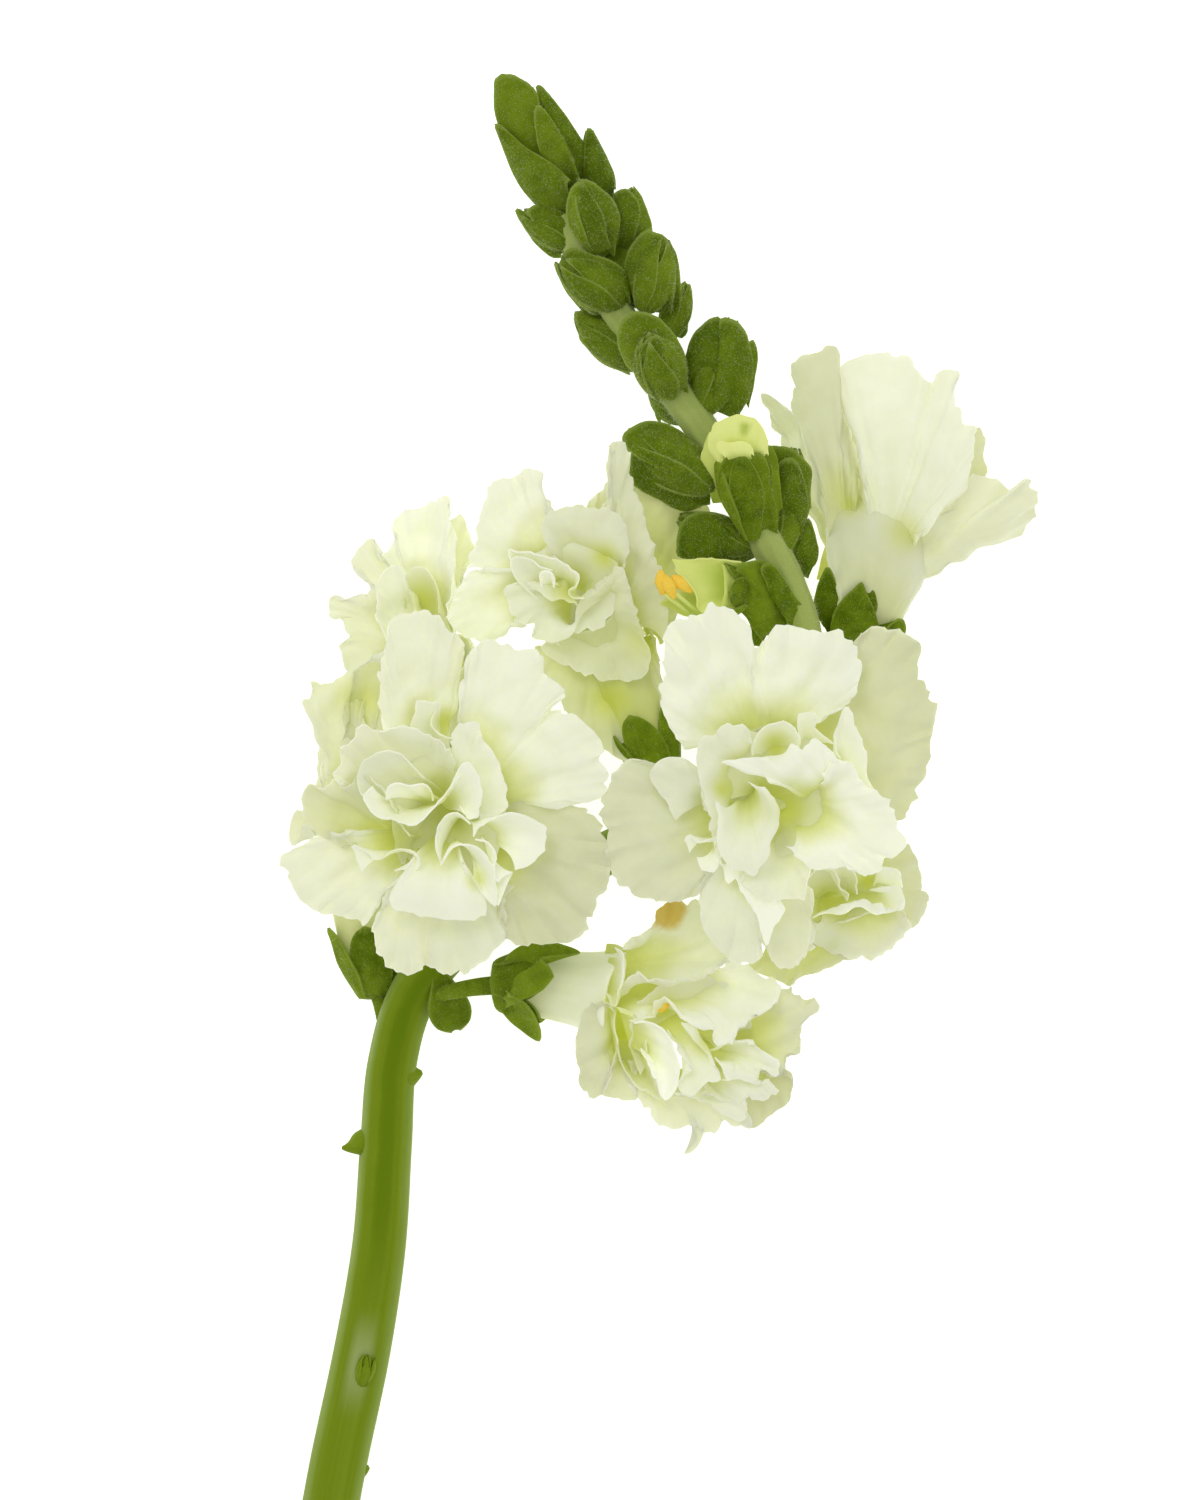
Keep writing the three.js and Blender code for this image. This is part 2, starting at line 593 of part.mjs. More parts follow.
function corollaSolid(bloom, grow) {
  const size = bloom.scale ?? 1;
  const way = tubeWay(bloom);
  const further = (u) => (Math.sign(u - 0.5) * grow) / way.length;
  const outside = TUBE_OUTSIDE.map(([u, r]) => [u + further(u), r * size + grow]);
  const inside = TUBE_INSIDE.map(([u, r]) => [u + further(u), r * size - grow]);
  const tube = solid(way.tube([...outside, ...inside], TUBE_SIDES));
  const frame = bloomFrame(bloom);
  const petals = bloom.petals.map((p) => {
    const point = (s, t) => petalPoint(p, s, t, grow).applyMatrix4(frame);
    return solid(blade(point, ...p.fine, PETAL_THICK + 2 * grow));
  });
  const filaments = (bloom.filaments ?? []).map(([foot, tip]) => {
    const along = tip.clone().sub(foot);
    const thread = bow(foot, along, tip, along, UP);
    return solid(thread.tube([0, 1].map((u) => [u, FILAMENT_RADIUS + grow]), THREAD_SIDES));
  });
  return join([tube, ...petals, ...filaments]);
}

// A cup on a stalk, round the skin of a way, whose rim rises into five pointed sepals.
function cupSolid({ way, inner, long, knee, size, stalk, rise }, grow) {
  const inside = (u) => inner(u) + CUP_GAP - grow;
  const wall = SEPAL_THICK + 2 * grow;
  const ringOf = (spot) =>
    SEPAL_TURNS.flatMap((middle) =>
      RIM.map(([degrees, share]) => {
        const [u, radius] = spot(share);
        return way.spot(u, rad(middle + degrees), radius);
      }),
    );
  const flare = (share) => SEPAL_FLARE * share ** 2;
  const further = (1.5 * grow) / way.length;
  const floor = TUBE_OUTSIDE[0][0] - CUP_GAP / way.length;
  const rings = [
    ...CUP.map(([share, radius]) => ringOf(() => [share * long - further, radius * size + grow])),
    ringOf(() => [knee, inside(knee) + wall]),
    ringOf((share) => [share * long + further, inside(share * long) + wall + flare(share)]),
    ringOf((share) => [share * long + further, inside(share * long) + flare(share)]),
    ringOf(() => [floor + further, inside(TUBE_OUTSIDE[0][0])]),
  ];
  const foot = way.frame(CUP[0][0] * long).point;
  return join([solid(skin(rings)), stalkSolid(stalk, foot, rise, grow)]);
}

function calyxSolid(bloom, grow) {
  const size = bloom.scale ?? 1;
  const way = tubeWay(bloom);
  const inner = (u) => reading(TUBE_OUTSIDE, u) * size;
  const long = (CALYX_LONG * size ** 0.5) / way.length;
  const knee = TUBE_OUTSIDE[1][0];
  const cup = cupSolid({ way, inner, long, knee, size, stalk: bloom.stalk, rise: bloom.rise }, grow);
  return bloom.bract ? join([cup, bractSolid(bloom.bract, grow)]) : cup;
}

// A spoon-shaped bract from its foot to its tip.
function bractSolid({ foot, tip, half }, grow) {
  const along = tip.clone().sub(foot);
  const way = bow(foot, along.clone().add(at(0, 0, 4)), tip, along.clone().add(at(0, 0, -4)), UP);
  const point = (s, t) => {
    const { point: middle, binormal, normal } = way.frame(t);
    const wide = (half + grow) * Math.max(0.3, hump(0.1 + 0.72 * Math.max(0, t) ** 1.3)) * s;
    return middle.addScaledVector(binormal, wide).addScaledVector(normal, 0.12 * half * s ** 2);
  };
  return solid(blade(point, 3, 4, SEPAL_THICK + 2 * grow));
}

// ---------------------------------------------------------------- the opening bud
function openingCalyx(grow) {
  const { calyx, stalk, tip, root } = OPENING;
  const inner = (u) => budRadius(OPENING)(Math.max(u, calyx.blunt)) + calyx.clear;
  const rise = tip.clone().sub(root);
  return cupSolid({ ...calyx, way: budWay(OPENING), inner, stalk, rise }, grow);
}

// ---------------------------------------------------------------- stamens
// The two anthers side by side in front of the torn flower's mouth.
function anthersSolid(grow) {
  const lobes = ANTHERS.map(([place, turn]) => {
    const lobe = new THREE.SphereGeometry(1, 6, 4);
    lobe.scale(...ANTHER_SIZE.map((size) => size + grow));
    lobe.rotateZ(rad(turn)).translate(place.x, place.y, place.z);
    return solid(lobe);
  });
  return join(lobes);
}

// ---------------------------------------------------------------- assembly
// Each piece as [name, colour, solid at a growth]; an earlier piece keeps its form and
// a later one is cut clear of it.
const PIECES = [
  ["stem", GREENS.stem, stemSolid],
  ["tip_buds", GREENS.bud, (grow) => join(TIP_BUDS.map((bud) => budSolid(bud, grow)))],
  ["calyx_opening_bud", GREENS.calyx, openingCalyx],
  ["anthers", ANTHER, anthersSolid],
  ...BUDS.map((bud) => [bud.name, GREENS.bud, (grow) => budSolid(bud, grow)]),
  ...BLOOMS.map((bloom) => [
    `calyx_${bloom.name}`, GREENS.calyx, (grow) => calyxSolid(bloom, grow),
  ]),
  ["petals_opening_bud", YOUNG, (grow) => budSolid(OPENING, grow)],
  ...BLOOMS.map((bloom) => [
    `corolla_${bloom.name}`, bloom.color ?? CREAM, (grow) => corollaSolid(bloom, grow),
  ]),
];

// What would reach below the surface it lies on is pressed flat.
const below = solid(new THREE.BoxGeometry(400, 400, 20).translate(0, 0, -10));

const group = new THREE.Group();
group.name = "snapdragon_stem";
group.position.set(...ORIGIN, 0);
const kept = [];
for (const [name, color, make] of PIECES) {
  const partner = name.replace("corolla_", "calyx_");
  const others = kept.filter((other) => other.name !== partner);
  const body = others.reduce((rest, other) => rest.subtract(other.guard), make(0));
  kept.push({ name, guard: make(CLEAR) });
  group.add(node(name, largest(body.subtract(below)), color));
}

export default group;
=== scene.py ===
"""A cut stem of double snapdragon that lies on a pale table.

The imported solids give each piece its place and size. Every one of them is dressed here
by a finer piece of the same form: thin petals with ragged, ruffled rims, sepals that lie
over one another, a ribbed stem, and the short white down of the young green.
"""

import logging
import math
from collections.abc import Callable, Sequence
from dataclasses import dataclass
from enum import Enum

import bpy
import numpy as np
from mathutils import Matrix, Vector
from mathutils.bvhtree import BVHTree


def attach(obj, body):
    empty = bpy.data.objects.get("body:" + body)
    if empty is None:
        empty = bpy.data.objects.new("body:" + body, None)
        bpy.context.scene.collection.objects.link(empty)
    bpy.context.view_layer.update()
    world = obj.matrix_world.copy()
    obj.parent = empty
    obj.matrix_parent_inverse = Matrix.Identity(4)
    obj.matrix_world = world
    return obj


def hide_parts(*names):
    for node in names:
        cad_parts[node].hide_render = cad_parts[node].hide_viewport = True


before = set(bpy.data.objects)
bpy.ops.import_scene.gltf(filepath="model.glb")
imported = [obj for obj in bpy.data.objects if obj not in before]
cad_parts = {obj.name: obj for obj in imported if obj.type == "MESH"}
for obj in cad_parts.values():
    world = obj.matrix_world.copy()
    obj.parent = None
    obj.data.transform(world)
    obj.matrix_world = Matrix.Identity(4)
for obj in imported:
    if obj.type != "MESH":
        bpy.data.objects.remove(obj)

log = logging.getLogger("snapdragon")

Array = np.ndarray
Triple = tuple[float, float, float]
Form = Callable[[Array, Array], Array]
Profile = Sequence[tuple[float, float]]

MILLIMETRE = 0.001
SHIFT = np.array([1.5, 0.2, 0.0])  # from the layout's zero to the part's origin
CREASE = math.radians(58.0)  # edges sharper than this stay sharp when faces are smoothed
LINE_STEPS = 200  # into how many steps a line is cut to measure it
NUDGE = 1e-4  # share of a line over which its direction is measured
WELD = 1e-6  # metres within which points of a rolled sheet's seam are joined
UP: Triple = (0.0, 0.0, 1.0)
AHEAD: Triple = (0.0, 1.0, 0.0)


# ------------------------------------------------------------------ lines and numbers
def unit(vector: Sequence[float]) -> Array:
    """Gives a vector the length 1."""
    made = np.asarray(vector, float)
    return made / np.linalg.norm(made)


def unit_rows(rows: Array) -> Array:
    """Gives every row the length 1."""
    return rows / np.linalg.norm(rows, axis=1)[:, None]


def smooth_step(values: Array, low: float, high: float) -> Array:
    """Rises smoothly from 0 at low to 1 at high."""
    share = np.clip((values - low) / (high - low), 0.0, 1.0)
    return share * share * (3.0 - 2.0 * share)


def hump(shares: Array) -> Array:
    """Rises from 0 at either end to 1 in the middle."""
    return np.maximum(0.0, np.sin(np.pi * shares))


def through(points: Sequence[Sequence[float]]) -> Callable[[Array], Array]:
    """Makes a smooth line through points.

    Args:
        points: The points in order, of two or three numbers each.

    Returns:
        A function from shares of the line, 0 to 1, to its points.
    """
    given = np.asarray(points, float)
    padded = np.vstack([2 * given[0] - given[1], given, 2 * given[-1] - given[-2]])
    spans = len(given) - 1

    def track(shares: Array) -> Array:
        """Gives the points at the shares."""
        place = np.clip(shares, 0.0, 1.0) * spans
        span = np.minimum(np.floor(place).astype(int), spans - 1)
        rest = (place - span)[:, None]
        before, here, there, after = (padded[span + step] for step in range(4))
        leave, arrive = 0.5 * (there - before), 0.5 * (after - here)
        square = 3 * (there - here) - 2 * leave - arrive
        cube = 2 * (here - there) + leave + arrive
        return here + rest * (leave + rest * (square + rest * cube))

    return track


class Way:
    """A line through space, with a frame at each share of it."""

    def __init__(self, track: Callable[[Array], Array], side: Sequence[float] = UP) -> None:
        """Keeps the line and measures it.

        Args:
            track: The line's points at an array of shares.
            side: The direction from which turns round the line are counted.
        """
        self.track = track
        self.side = unit(side)
        line = track(np.linspace(0.0, 1.0, LINE_STEPS + 1))
        self.length = float(np.linalg.norm(np.diff(line, axis=0), axis=1).sum())

    def frame(self, shares: Array) -> tuple[Array, Array, Array, Array]:
        """Finds the points and directions at shares of the line, also past its ends.

        Args:
            shares: Places along the line.

        Returns:
            Points, tangents, normals and binormals, a row for each share.
        """
        held = np.clip(shares, 0.0, 1.0)
        ahead = self.track(np.clip(held + NUDGE, 0.0, 1.0))
        tangent = unit_rows(ahead - self.track(np.clip(held - NUDGE, 0.0, 1.0)))
        point = self.track(held) + tangent * ((shares - held) * self.length)[:, None]
        normal = unit_rows(self.side - tangent * (tangent @ self.side)[:, None])
        return point, tangent, normal, np.cross(tangent, normal)

    def spot(self, shares: Array, turns: Array, radii: Array) -> Array:
        """Finds points round the line.

        Args:
            shares: Places along the line.
            turns: Angles round it, in radians.
            radii: Distances from it.

        Returns:
            The points, a row for each share.
        """
        point, _, normal, binormal = self.frame(shares)
        return (
            point
            + (radii * np.cos(turns))[:, None] * normal
            + (radii * np.sin(turns))[:, None] * binormal
        )


def bow(
    start: Triple, leave: Sequence[float], end: Triple, arrive: Sequence[float],
    side: Sequence[float] = UP,
) -> Way:
    """Makes a line that leaves and arrives in given directions.

    Args:
        start: Its first point.
        leave: The direction it leaves in.
        end: Its last point.
        arrive: The direction it arrives in.
        side: The side that turns round it are counted from.

    Returns:
        The line.
    """
    first, last = np.asarray(start, float), np.asarray(end, float)
    reach = 0.38 * np.linalg.norm(last - first)
    second, third = first + unit(leave) * reach, last - unit(arrive) * reach

    def track(shares: Array) -> Array:
        """Gives the points at the shares."""
        u = shares[:, None]
        v = 1.0 - u
        return v**3 * first + 3 * v * v * u * second + 3 * v * u * u * third + u**3 * last

    return Way(track, side)


# ------------------------------------------------------------------ modelling steps
class Bench:
    """The modelling steps that the pieces share. Forms are in the layout's millimetres."""

    @staticmethod
    def select(*pieces: bpy.types.Object) -> None:
        """Selects these pieces alone and makes the first the active one."""
        bpy.ops.object.select_all(action="DESELECT")
        for piece in pieces:
            piece.select_set(True)
        bpy.context.view_layer.objects.active = pieces[0]

    @staticmethod
    def sheet(name: str, columns: int, rows: int, form: Form) -> bpy.types.Object:
        """Adds a grid and lays it over a form.

        Args:
            name: The piece's name.
            columns: Faces across.
            rows: Faces along.
            form: Gives points from places across, -1 to 1, and along, 0 to 1.

        Returns:
            The piece, one face thick.
        """
        bpy.ops.object.select_all(action="DESELECT")
        bpy.ops.mesh.primitive_grid_add(x_subdivisions=columns, y_subdivisions=rows, size=2.0)
        piece = bpy.context.active_object
        piece.name = piece.data.name = name
        flat = np.zeros(3 * len(piece.data.vertices))
        piece.data.vertices.foreach_get("co", flat)
        flat = flat.reshape(-1, 3)
        placed = (form(flat[:, 0], (flat[:, 1] + 1.0) / 2.0) + SHIFT) * MILLIMETRE
        piece.data.vertices.foreach_set("co", placed.ravel())
        piece.data.update()
        return piece

    @staticmethod
    def apply(piece: bpy.types.Object, modifier: bpy.types.Modifier) -> None:
        """Applies a modifier to its piece."""
        Bench.select(piece)
        bpy.ops.object.modifier_apply(modifier=modifier.name)

    @staticmethod
    def thicken(piece: bpy.types.Object, thickness: float) -> bpy.types.Object:
        """Gives a sheet a thickness, half of it on each side."""
        shell = piece.modifiers.new("thickness", "SOLIDIFY")
        shell.thickness = thickness * MILLIMETRE
        shell.offset = 0.0
        Bench.apply(piece, shell)
        return piece

    @staticmethod
    def weld(piece: bpy.types.Object) -> bpy.types.Object:
        """Closes the seam and the poles of a rolled sheet and turns its faces out."""
        Bench.select(piece)
        bpy.ops.object.mode_set(mode="EDIT")
        bpy.ops.mesh.select_all(action="SELECT")
        bpy.ops.mesh.remove_doubles(threshold=WELD)
        bpy.ops.mesh.normals_make_consistent(inside=False)
        bpy.ops.object.mode_set(mode="OBJECT")
        return piece

    @staticmethod
    def rolled(
        name: str, way: Way, rings: Array, sides: int,
        relief: Callable[[Array, Array], Array] | None = None,
    ) -> bpy.types.Object:
        """Rolls a sheet into a closed body round a line.

        Args:
            name: The piece's name.
            way: The line.
            rings: Rows of the share of the line and the radius there. The first and the
                last radius are 0, which closes the ends.
            sides: Faces round it.
            relief: Millimetres to add to the radius, from shares and turns.

        Returns:
            The piece.
        """
        last = len(rings) - 1

        def form(across: Array, along: Array) -> Array:
            """Puts the grid's points round the line."""
            share, radius = np.asarray(rings)[np.rint(along * last).astype(int)].T
            turns = np.pi * across
            if relief is not None:
                radius = radius + np.where(radius > 0.0, relief(share, turns), 0.0)
            return way.spot(share, turns, radius)

        return Bench.weld(Bench.sheet(name, sides, last, form))

    @staticmethod
    def mark(piece: bpy.types.Object, name: str, value: float | Array) -> None:
        """Writes a number, or one for each point, on a piece for its finish to read."""
        count = len(piece.data.vertices)
        layer = piece.data.attributes.new(name, "FLOAT", "POINT")
        values = np.broadcast_to(np.asarray(value, np.float32), (count,))
        layer.data.foreach_set("value", np.ascontiguousarray(values))

    @staticmethod
    def points(piece: bpy.types.Object) -> Array:
        """Gives a piece's points in the layout's millimetres."""
        flat = np.zeros(3 * len(piece.data.vertices))
        piece.data.vertices.foreach_get("co", flat)
        return flat.reshape(-1, 3) / MILLIMETRE - SHIFT

    @staticmethod
    def join(name: str, pieces: Sequence[bpy.types.Object]) -> bpy.types.Object:
        """Joins pieces into one and smooths its faces, but for its sharp edges.

        Args:
            name: The joined piece's name.
            pieces: What is joined.

        Returns:
            The joined piece.
        """
        Bench.select(*pieces)
        if len(pieces) > 1:
            bpy.ops.object.join()
        made = bpy.context.view_layer.objects.active
        made.name = made.data.name = name
        bpy.ops.object.shade_smooth_by_angle(angle=CREASE)
        return made

    @staticmethod
    def dress(
        piece: bpy.types.Object, finish: bpy.types.Material, slot: str, *nodes: str
    ) -> bpy.types.Object:
        """Gives a piece its finish and its place in the part.

        Args:
            piece: The piece.
            finish: Its material.
            slot: Not used.
            nodes: The solids that it stands for.

        Returns:
            The piece.
        """
        piece.data.materials.clear()
        piece.data.materials.append(finish)
        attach(piece, "root")
        if nodes:
            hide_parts(*nodes)
        log.info("%s: %d faces", piece.name, len(piece.data.polygons))
        return piece


def fine_rings(profile: Profile, steps: int) -> Array:
    """Smooths a profile of shares and radii and closes both its ends.

    Args:
        profile: Pairs of share and radius.
        steps: How many rings the smooth part gets.

    Returns:
        Rows of share and radius, with a radius of 0 first and last.
    """
    rings = through(profile)(np.linspace(0.0, 1.0, steps))
    return np.vstack([[rings[0, 0], 0.0], rings, [rings[-1, 0], 0.0]])


# ------------------------------------------------------------------ colours and finishes
Colour = tuple[float, float, float, float]


def shade(red: int, green: int, blue: int) -> Colour:
    """Turns a colour from 0 to 255 a channel, as seen, into the light that it is."""
    def light(value: int) -> float:
        """Turns one channel into light."""
        share = value / 255.0
        return share / 12.92 if share <= 0.04045 else ((share + 0.055) / 1.055) ** 2.4

    return light(red), light(green), light(blue), 1.0


class Wire:
    """A number that varies over a surface. Sums on it add Math nodes."""

    def __init__(self, paint: "Paint", socket: bpy.types.NodeSocket) -> None:
        """Keeps the socket that gives the number."""
        self.paint = paint
        self.socket = socket

    def _math(self, operation: str, *values: "Wire | float") -> "Wire":
        """Adds a Math node over some values."""
        made = self.paint.node("ShaderNodeMath", {"operation": operation}, dict(enumerate(values)))
        return Wire(self.paint, made.outputs[0])

    def __add__(self, other: "Wire | float") -> "Wire":
        """Adds."""
        return self._math("ADD", self, other)

    __radd__ = __add__

    def __mul__(self, other: "Wire | float") -> "Wire":
        """Multiplies."""
        return self._math("MULTIPLY", self, other)

    __rmul__ = __mul__

    def __sub__(self, other: "Wire | float") -> "Wire":
        """Takes away."""
        return self._math("SUBTRACT", self, other)

    def __rsub__(self, other: "Wire | float") -> "Wire":
        """Is taken away."""
        return self._math("SUBTRACT", other, self)

    def __pow__(self, other: float) -> "Wire":
        """Raises to a power."""
        return self._math("POWER", self, other)

    def sine(self) -> "Wire":
        """Gives the sine."""
        return self._math("SINE", self)

    def size(self) -> "Wire":
        """Drops the sign."""
        return self._math("ABSOLUTE", self)

    def step(self, low: float, high: float) -> "Wire":
        """Rises smoothly from 0 at low to 1 at high, or falls where low is the higher."""
        flip = low > high
        made = self.paint.node(
            "ShaderNodeMapRange",
            {"interpolation_type": "SMOOTHSTEP"},
            {"Value": self, "From Min": min(low, high), "From Max": max(low, high)},
        )
        risen = Wire(self.paint, made.outputs["Result"])
        return 1.0 - risen if flip else risen


class Paint:
    """One material and the nodes that make it."""

    def __init__(self, name: str) -> None:
        """Starts a material with a plain surface."""
        self.material = bpy.data.materials.new(name)
        self.material.use_nodes = True
        self.tree = self.material.node_tree
        self.surface = self.tree.nodes["Principled BSDF"]

    def node(
        self, kind: str, settings: dict[str, object] | None = None,
        sockets: dict[str | int, object] | None = None,
    ) -> bpy.types.Node:
        """Adds a node.

        Args:
            kind: The node's type.
            settings: What is set on it first.
            sockets: Values or wires for its inputs, by name or number.

        Returns:
            The node.
        """
        made = self.tree.nodes.new(kind)
        for key, value in (settings or {}).items():
            setattr(made, key, value)
        for key, value in (sockets or {}).items():
            self.plug(made.inputs[key], value)
        return made

    def plug(self, socket: bpy.types.NodeSocket, value: object) -> None:
        """Sets an input to a value, or links it to a wire or another socket."""
        if isinstance(value, Wire):
            value = value.socket
        if isinstance(value, bpy.types.NodeSocket):
            self.tree.links.new(value, socket)
        else:
            socket.default_value = value

    def place(self) -> bpy.types.NodeSocket:
        """Gives the place on the piece, in metres."""
        return self.node("ShaderNodeTexCoord").outputs["Object"]

    def axes(self, vector: bpy.types.NodeSocket) -> tuple[Wire, Wire, Wire]:
        """Splits a vector."""
        made = self.node("ShaderNodeSeparateXYZ", sockets={"Vector": vector})
        return tuple(Wire(self, output) for output in made.outputs)

    def spread(self) -> tuple[Wire, Wire]:
        """Gives the place across and along a sheet, each from 0 to 1."""
        across, along, _ = self.axes(self.node("ShaderNodeUVMap").outputs["UV"])
        return across, along

    def mark(self, name: str) -> Wire:
        """Reads a number that is written on the piece."""
        return Wire(self, self.node("ShaderNodeAttribute", {"attribute_name": name}).outputs["Fac"])

    def vector(
        self, x: "Wire | float", y: "Wire | float", z: "Wire | float"
    ) -> bpy.types.NodeSocket:
        """Puts three numbers together."""
        return self.node("ShaderNodeCombineXYZ", sockets={0: x, 1: y, 2: z}).outputs[0]

    def cloud(
        self, vector: bpy.types.NodeSocket, scale: float, detail: float = 3.0, rough: float = 0.5
    ) -> Wire:
        """Makes soft noise.

        Args:
            vector: Where it is read.
            scale: How many clouds to a unit of the vector.
            detail: How many finer layers it has.
            rough: How strong the finer layers are.

        Returns:
            The noise, about 0 to 1.
        """
        made = self.node(
            "ShaderNodeTexNoise", None,
            {"Vector": vector, "Scale": scale, "Detail": detail, "Roughness": rough},
        )
        return Wire(self, made.outputs["Fac"])

    def specks(self, vector: bpy.types.NodeSocket, scale: float, width: float) -> Wire:
        """Makes small round specks, 1 in their middles and 0 between them."""
        made = self.node("ShaderNodeTexVoronoi", None, {"Vector": vector, "Scale": scale})
        return Wire(self, made.outputs["Distance"]).step(width, 0.0)

    def blend(
        self, share: "Wire | float", first: "Colour | bpy.types.NodeSocket",
        second: "Colour | bpy.types.NodeSocket",
    ) -> bpy.types.NodeSocket:
        """Mixes two colours, from the first at a share of 0 to the second at 1."""
        made = self.node(
            "ShaderNodeMix", {"data_type": "RGBA", "clamp_factor": True},
            {0: share, 6: first, 7: second},
        )
        return made.outputs[2]

    def relief(self, height: Wire, depth: float) -> None:
        """Raises the surface where the height is 1, by a depth in millimetres."""
        made = self.node(
            "ShaderNodeBump", None,
            {"Height": height, "Distance": depth * MILLIMETRE, "Strength": 1.0},
        )
        self.plug(self.surface.inputs["Normal"], made.outputs["Normal"])

    def finish(self, **sockets: object) -> bpy.types.Material:
        """Sets the surface's inputs, named with _ for spaces, and gives the material."""
        for key, value in sockets.items():
            name = key.replace("_", " ").title().replace("Ior", "IOR")
            self.plug(self.surface.inputs[name], value)
        return self.material


@dataclass(frozen=True)
class PetalFinish:
    """A petal: pale and matt, greener down in the throat, with fine veins along it. Its colour also
    holds painted shade, a painted highlight on its rims and a faint painted glow.
    """

    name: str
    shaded_low: Colour  # painted shade: the colour of the petals that lie lowest
    clear: Colour  # painted light: the colour of those that stand highest
    throat_and_shade_green: Colour  # the throat's green, which also paints the shade in the hollows
    deep: float  # share of the petal over which the throat's green, partly painted shade, fades
    glow: float = 0.35  # how far light spreads in it
    scorch: bool = False  # whether it has a brown place

    def mix(self) -> bpy.types.Material:
        """Makes the material."""
        paint = Paint(self.name)
        across, along = paint.spread()
        place = paint.place()
        tone_and_shade, green = paint.mark("tone_and_shade"), paint.mark("green")
        wander = paint.cloud(paint.vector(across * 2.6, along * 1.7, tone_and_shade * 9.0), 1.0, 2.0)
        lines = across + 0.16 * wander
        wide = ((lines * 40.0).sine() * 0.5 + 0.5) ** 5.0
        narrow = ((lines * 103.0 + 6.0 * wander).sine() * 0.5 + 0.5) ** 4.0
        veins = (wide * 0.6 + narrow * 0.4) * along.step(1.0, 0.45)
        patches = paint.cloud(place, 210.0, 4.0, 0.55)
        # painted shade and light: from the shaded colour of the lowest petals to the lit colour of
        # the highest
        colour = paint.blend(tone_and_shade + 0.3 * (patches - 0.5), self.shaded_low, self.clear)
        depth = along + 0.14 * (patches - 0.5) + 0.5 * paint.mark("outside")
        # partly painted shade: the throat's green near the roots, down in the crevices
        colour = paint.blend(depth.step(self.deep, 0.05) * 0.8, colour, self.throat_and_shade_green)
        # partly painted shade: greener petals turn greener towards their roots, and the painted
        # shade hollows are added
        green_and_shade = green * depth.step(1.25, 0.45) + 0.9 * paint.mark("shade_pool")
        colour = paint.blend(green_and_shade, colour, self.throat_and_shade_green)
        colour = paint.blend(veins * 0.06, colour, self.throat_and_shade_green)
        # painted highlight: the thin rims turn lighter in patches
        rim = along.step(0.93, 1.0) * patches.step(0.35, 0.7)
        colour = paint.blend(rim * 0.3, colour, self.clear)
        if self.scorch:
            brown = paint.mark("scorch") + 0.5 * (paint.cloud(place, 420.0, 3.0) - 0.5)
            colour = paint.blend(brown.step(0.35, 0.75), colour, shade(196, 172, 92))
        crinkle = paint.cloud(place, 620.0, 3.0, 0.55)
        paint.relief(veins * 0.14 + crinkle * 0.8, 0.07)
        return paint.finish(
            base_color=colour, roughness=0.55 + 0.1 * crinkle, specular_ior_level=0.2,
            subsurface_weight=self.glow, subsurface_radius=(1.0, 1.0, 0.5), subsurface_scale=0.001,
            # painted glow: the petals give off a little of their own colour, in place of light
            # shining through them
            emission_color=colour, emission_strength=0.18,
        )


@dataclass(frozen=True)
class LeafFinish:
    """A sepal or a bud: fresh green, lighter at its foot and its rims, with fine specks."""

    name: str
    dark: Colour
    light: Colour
    rim: Colour
    haze: float  # strength of the soft light that its down gives it

    def mix(self) -> bpy.types.Material:
        """Makes the material."""
        paint = Paint(self.name)
        across, along = paint.spread()
        place = paint.place()
        tone_and_shade = paint.mark("tone_and_shade")
        patches = paint.cloud(place, 420.0, 4.0, 0.6)
        # partly painted shade: a low tone darkens the blades that lie under others
        colour = paint.blend(patches.step(0.3, 0.7) * 0.45 + tone_and_shade * 0.65, self.dark, self.light)
        edge = (across - 0.5).size().step(0.42, 0.5) + along.step(0.88, 1.0)
        colour = paint.blend(along.step(0.3, 0.0) * 0.4, colour, self.light)
        colour = paint.blend(edge * 0.55, colour, self.rim)
        dots = paint.specks(place, 2600.0, 0.4)
        colour = paint.blend(dots * 0.6, colour, self.rim)
        paint.relief(dots * 0.5 + patches * 0.5, 0.08)
        return paint.finish(
            base_color=colour, roughness=0.6 + 0.15 * patches, specular_ior_level=0.05,
            subsurface_weight=0.1, subsurface_radius=(0.6, 1.0, 0.2), subsurface_scale=0.0006,
            sheen_weight=self.haze, sheen_roughness=0.4, sheen_tint=shade(200, 210, 70),
        )


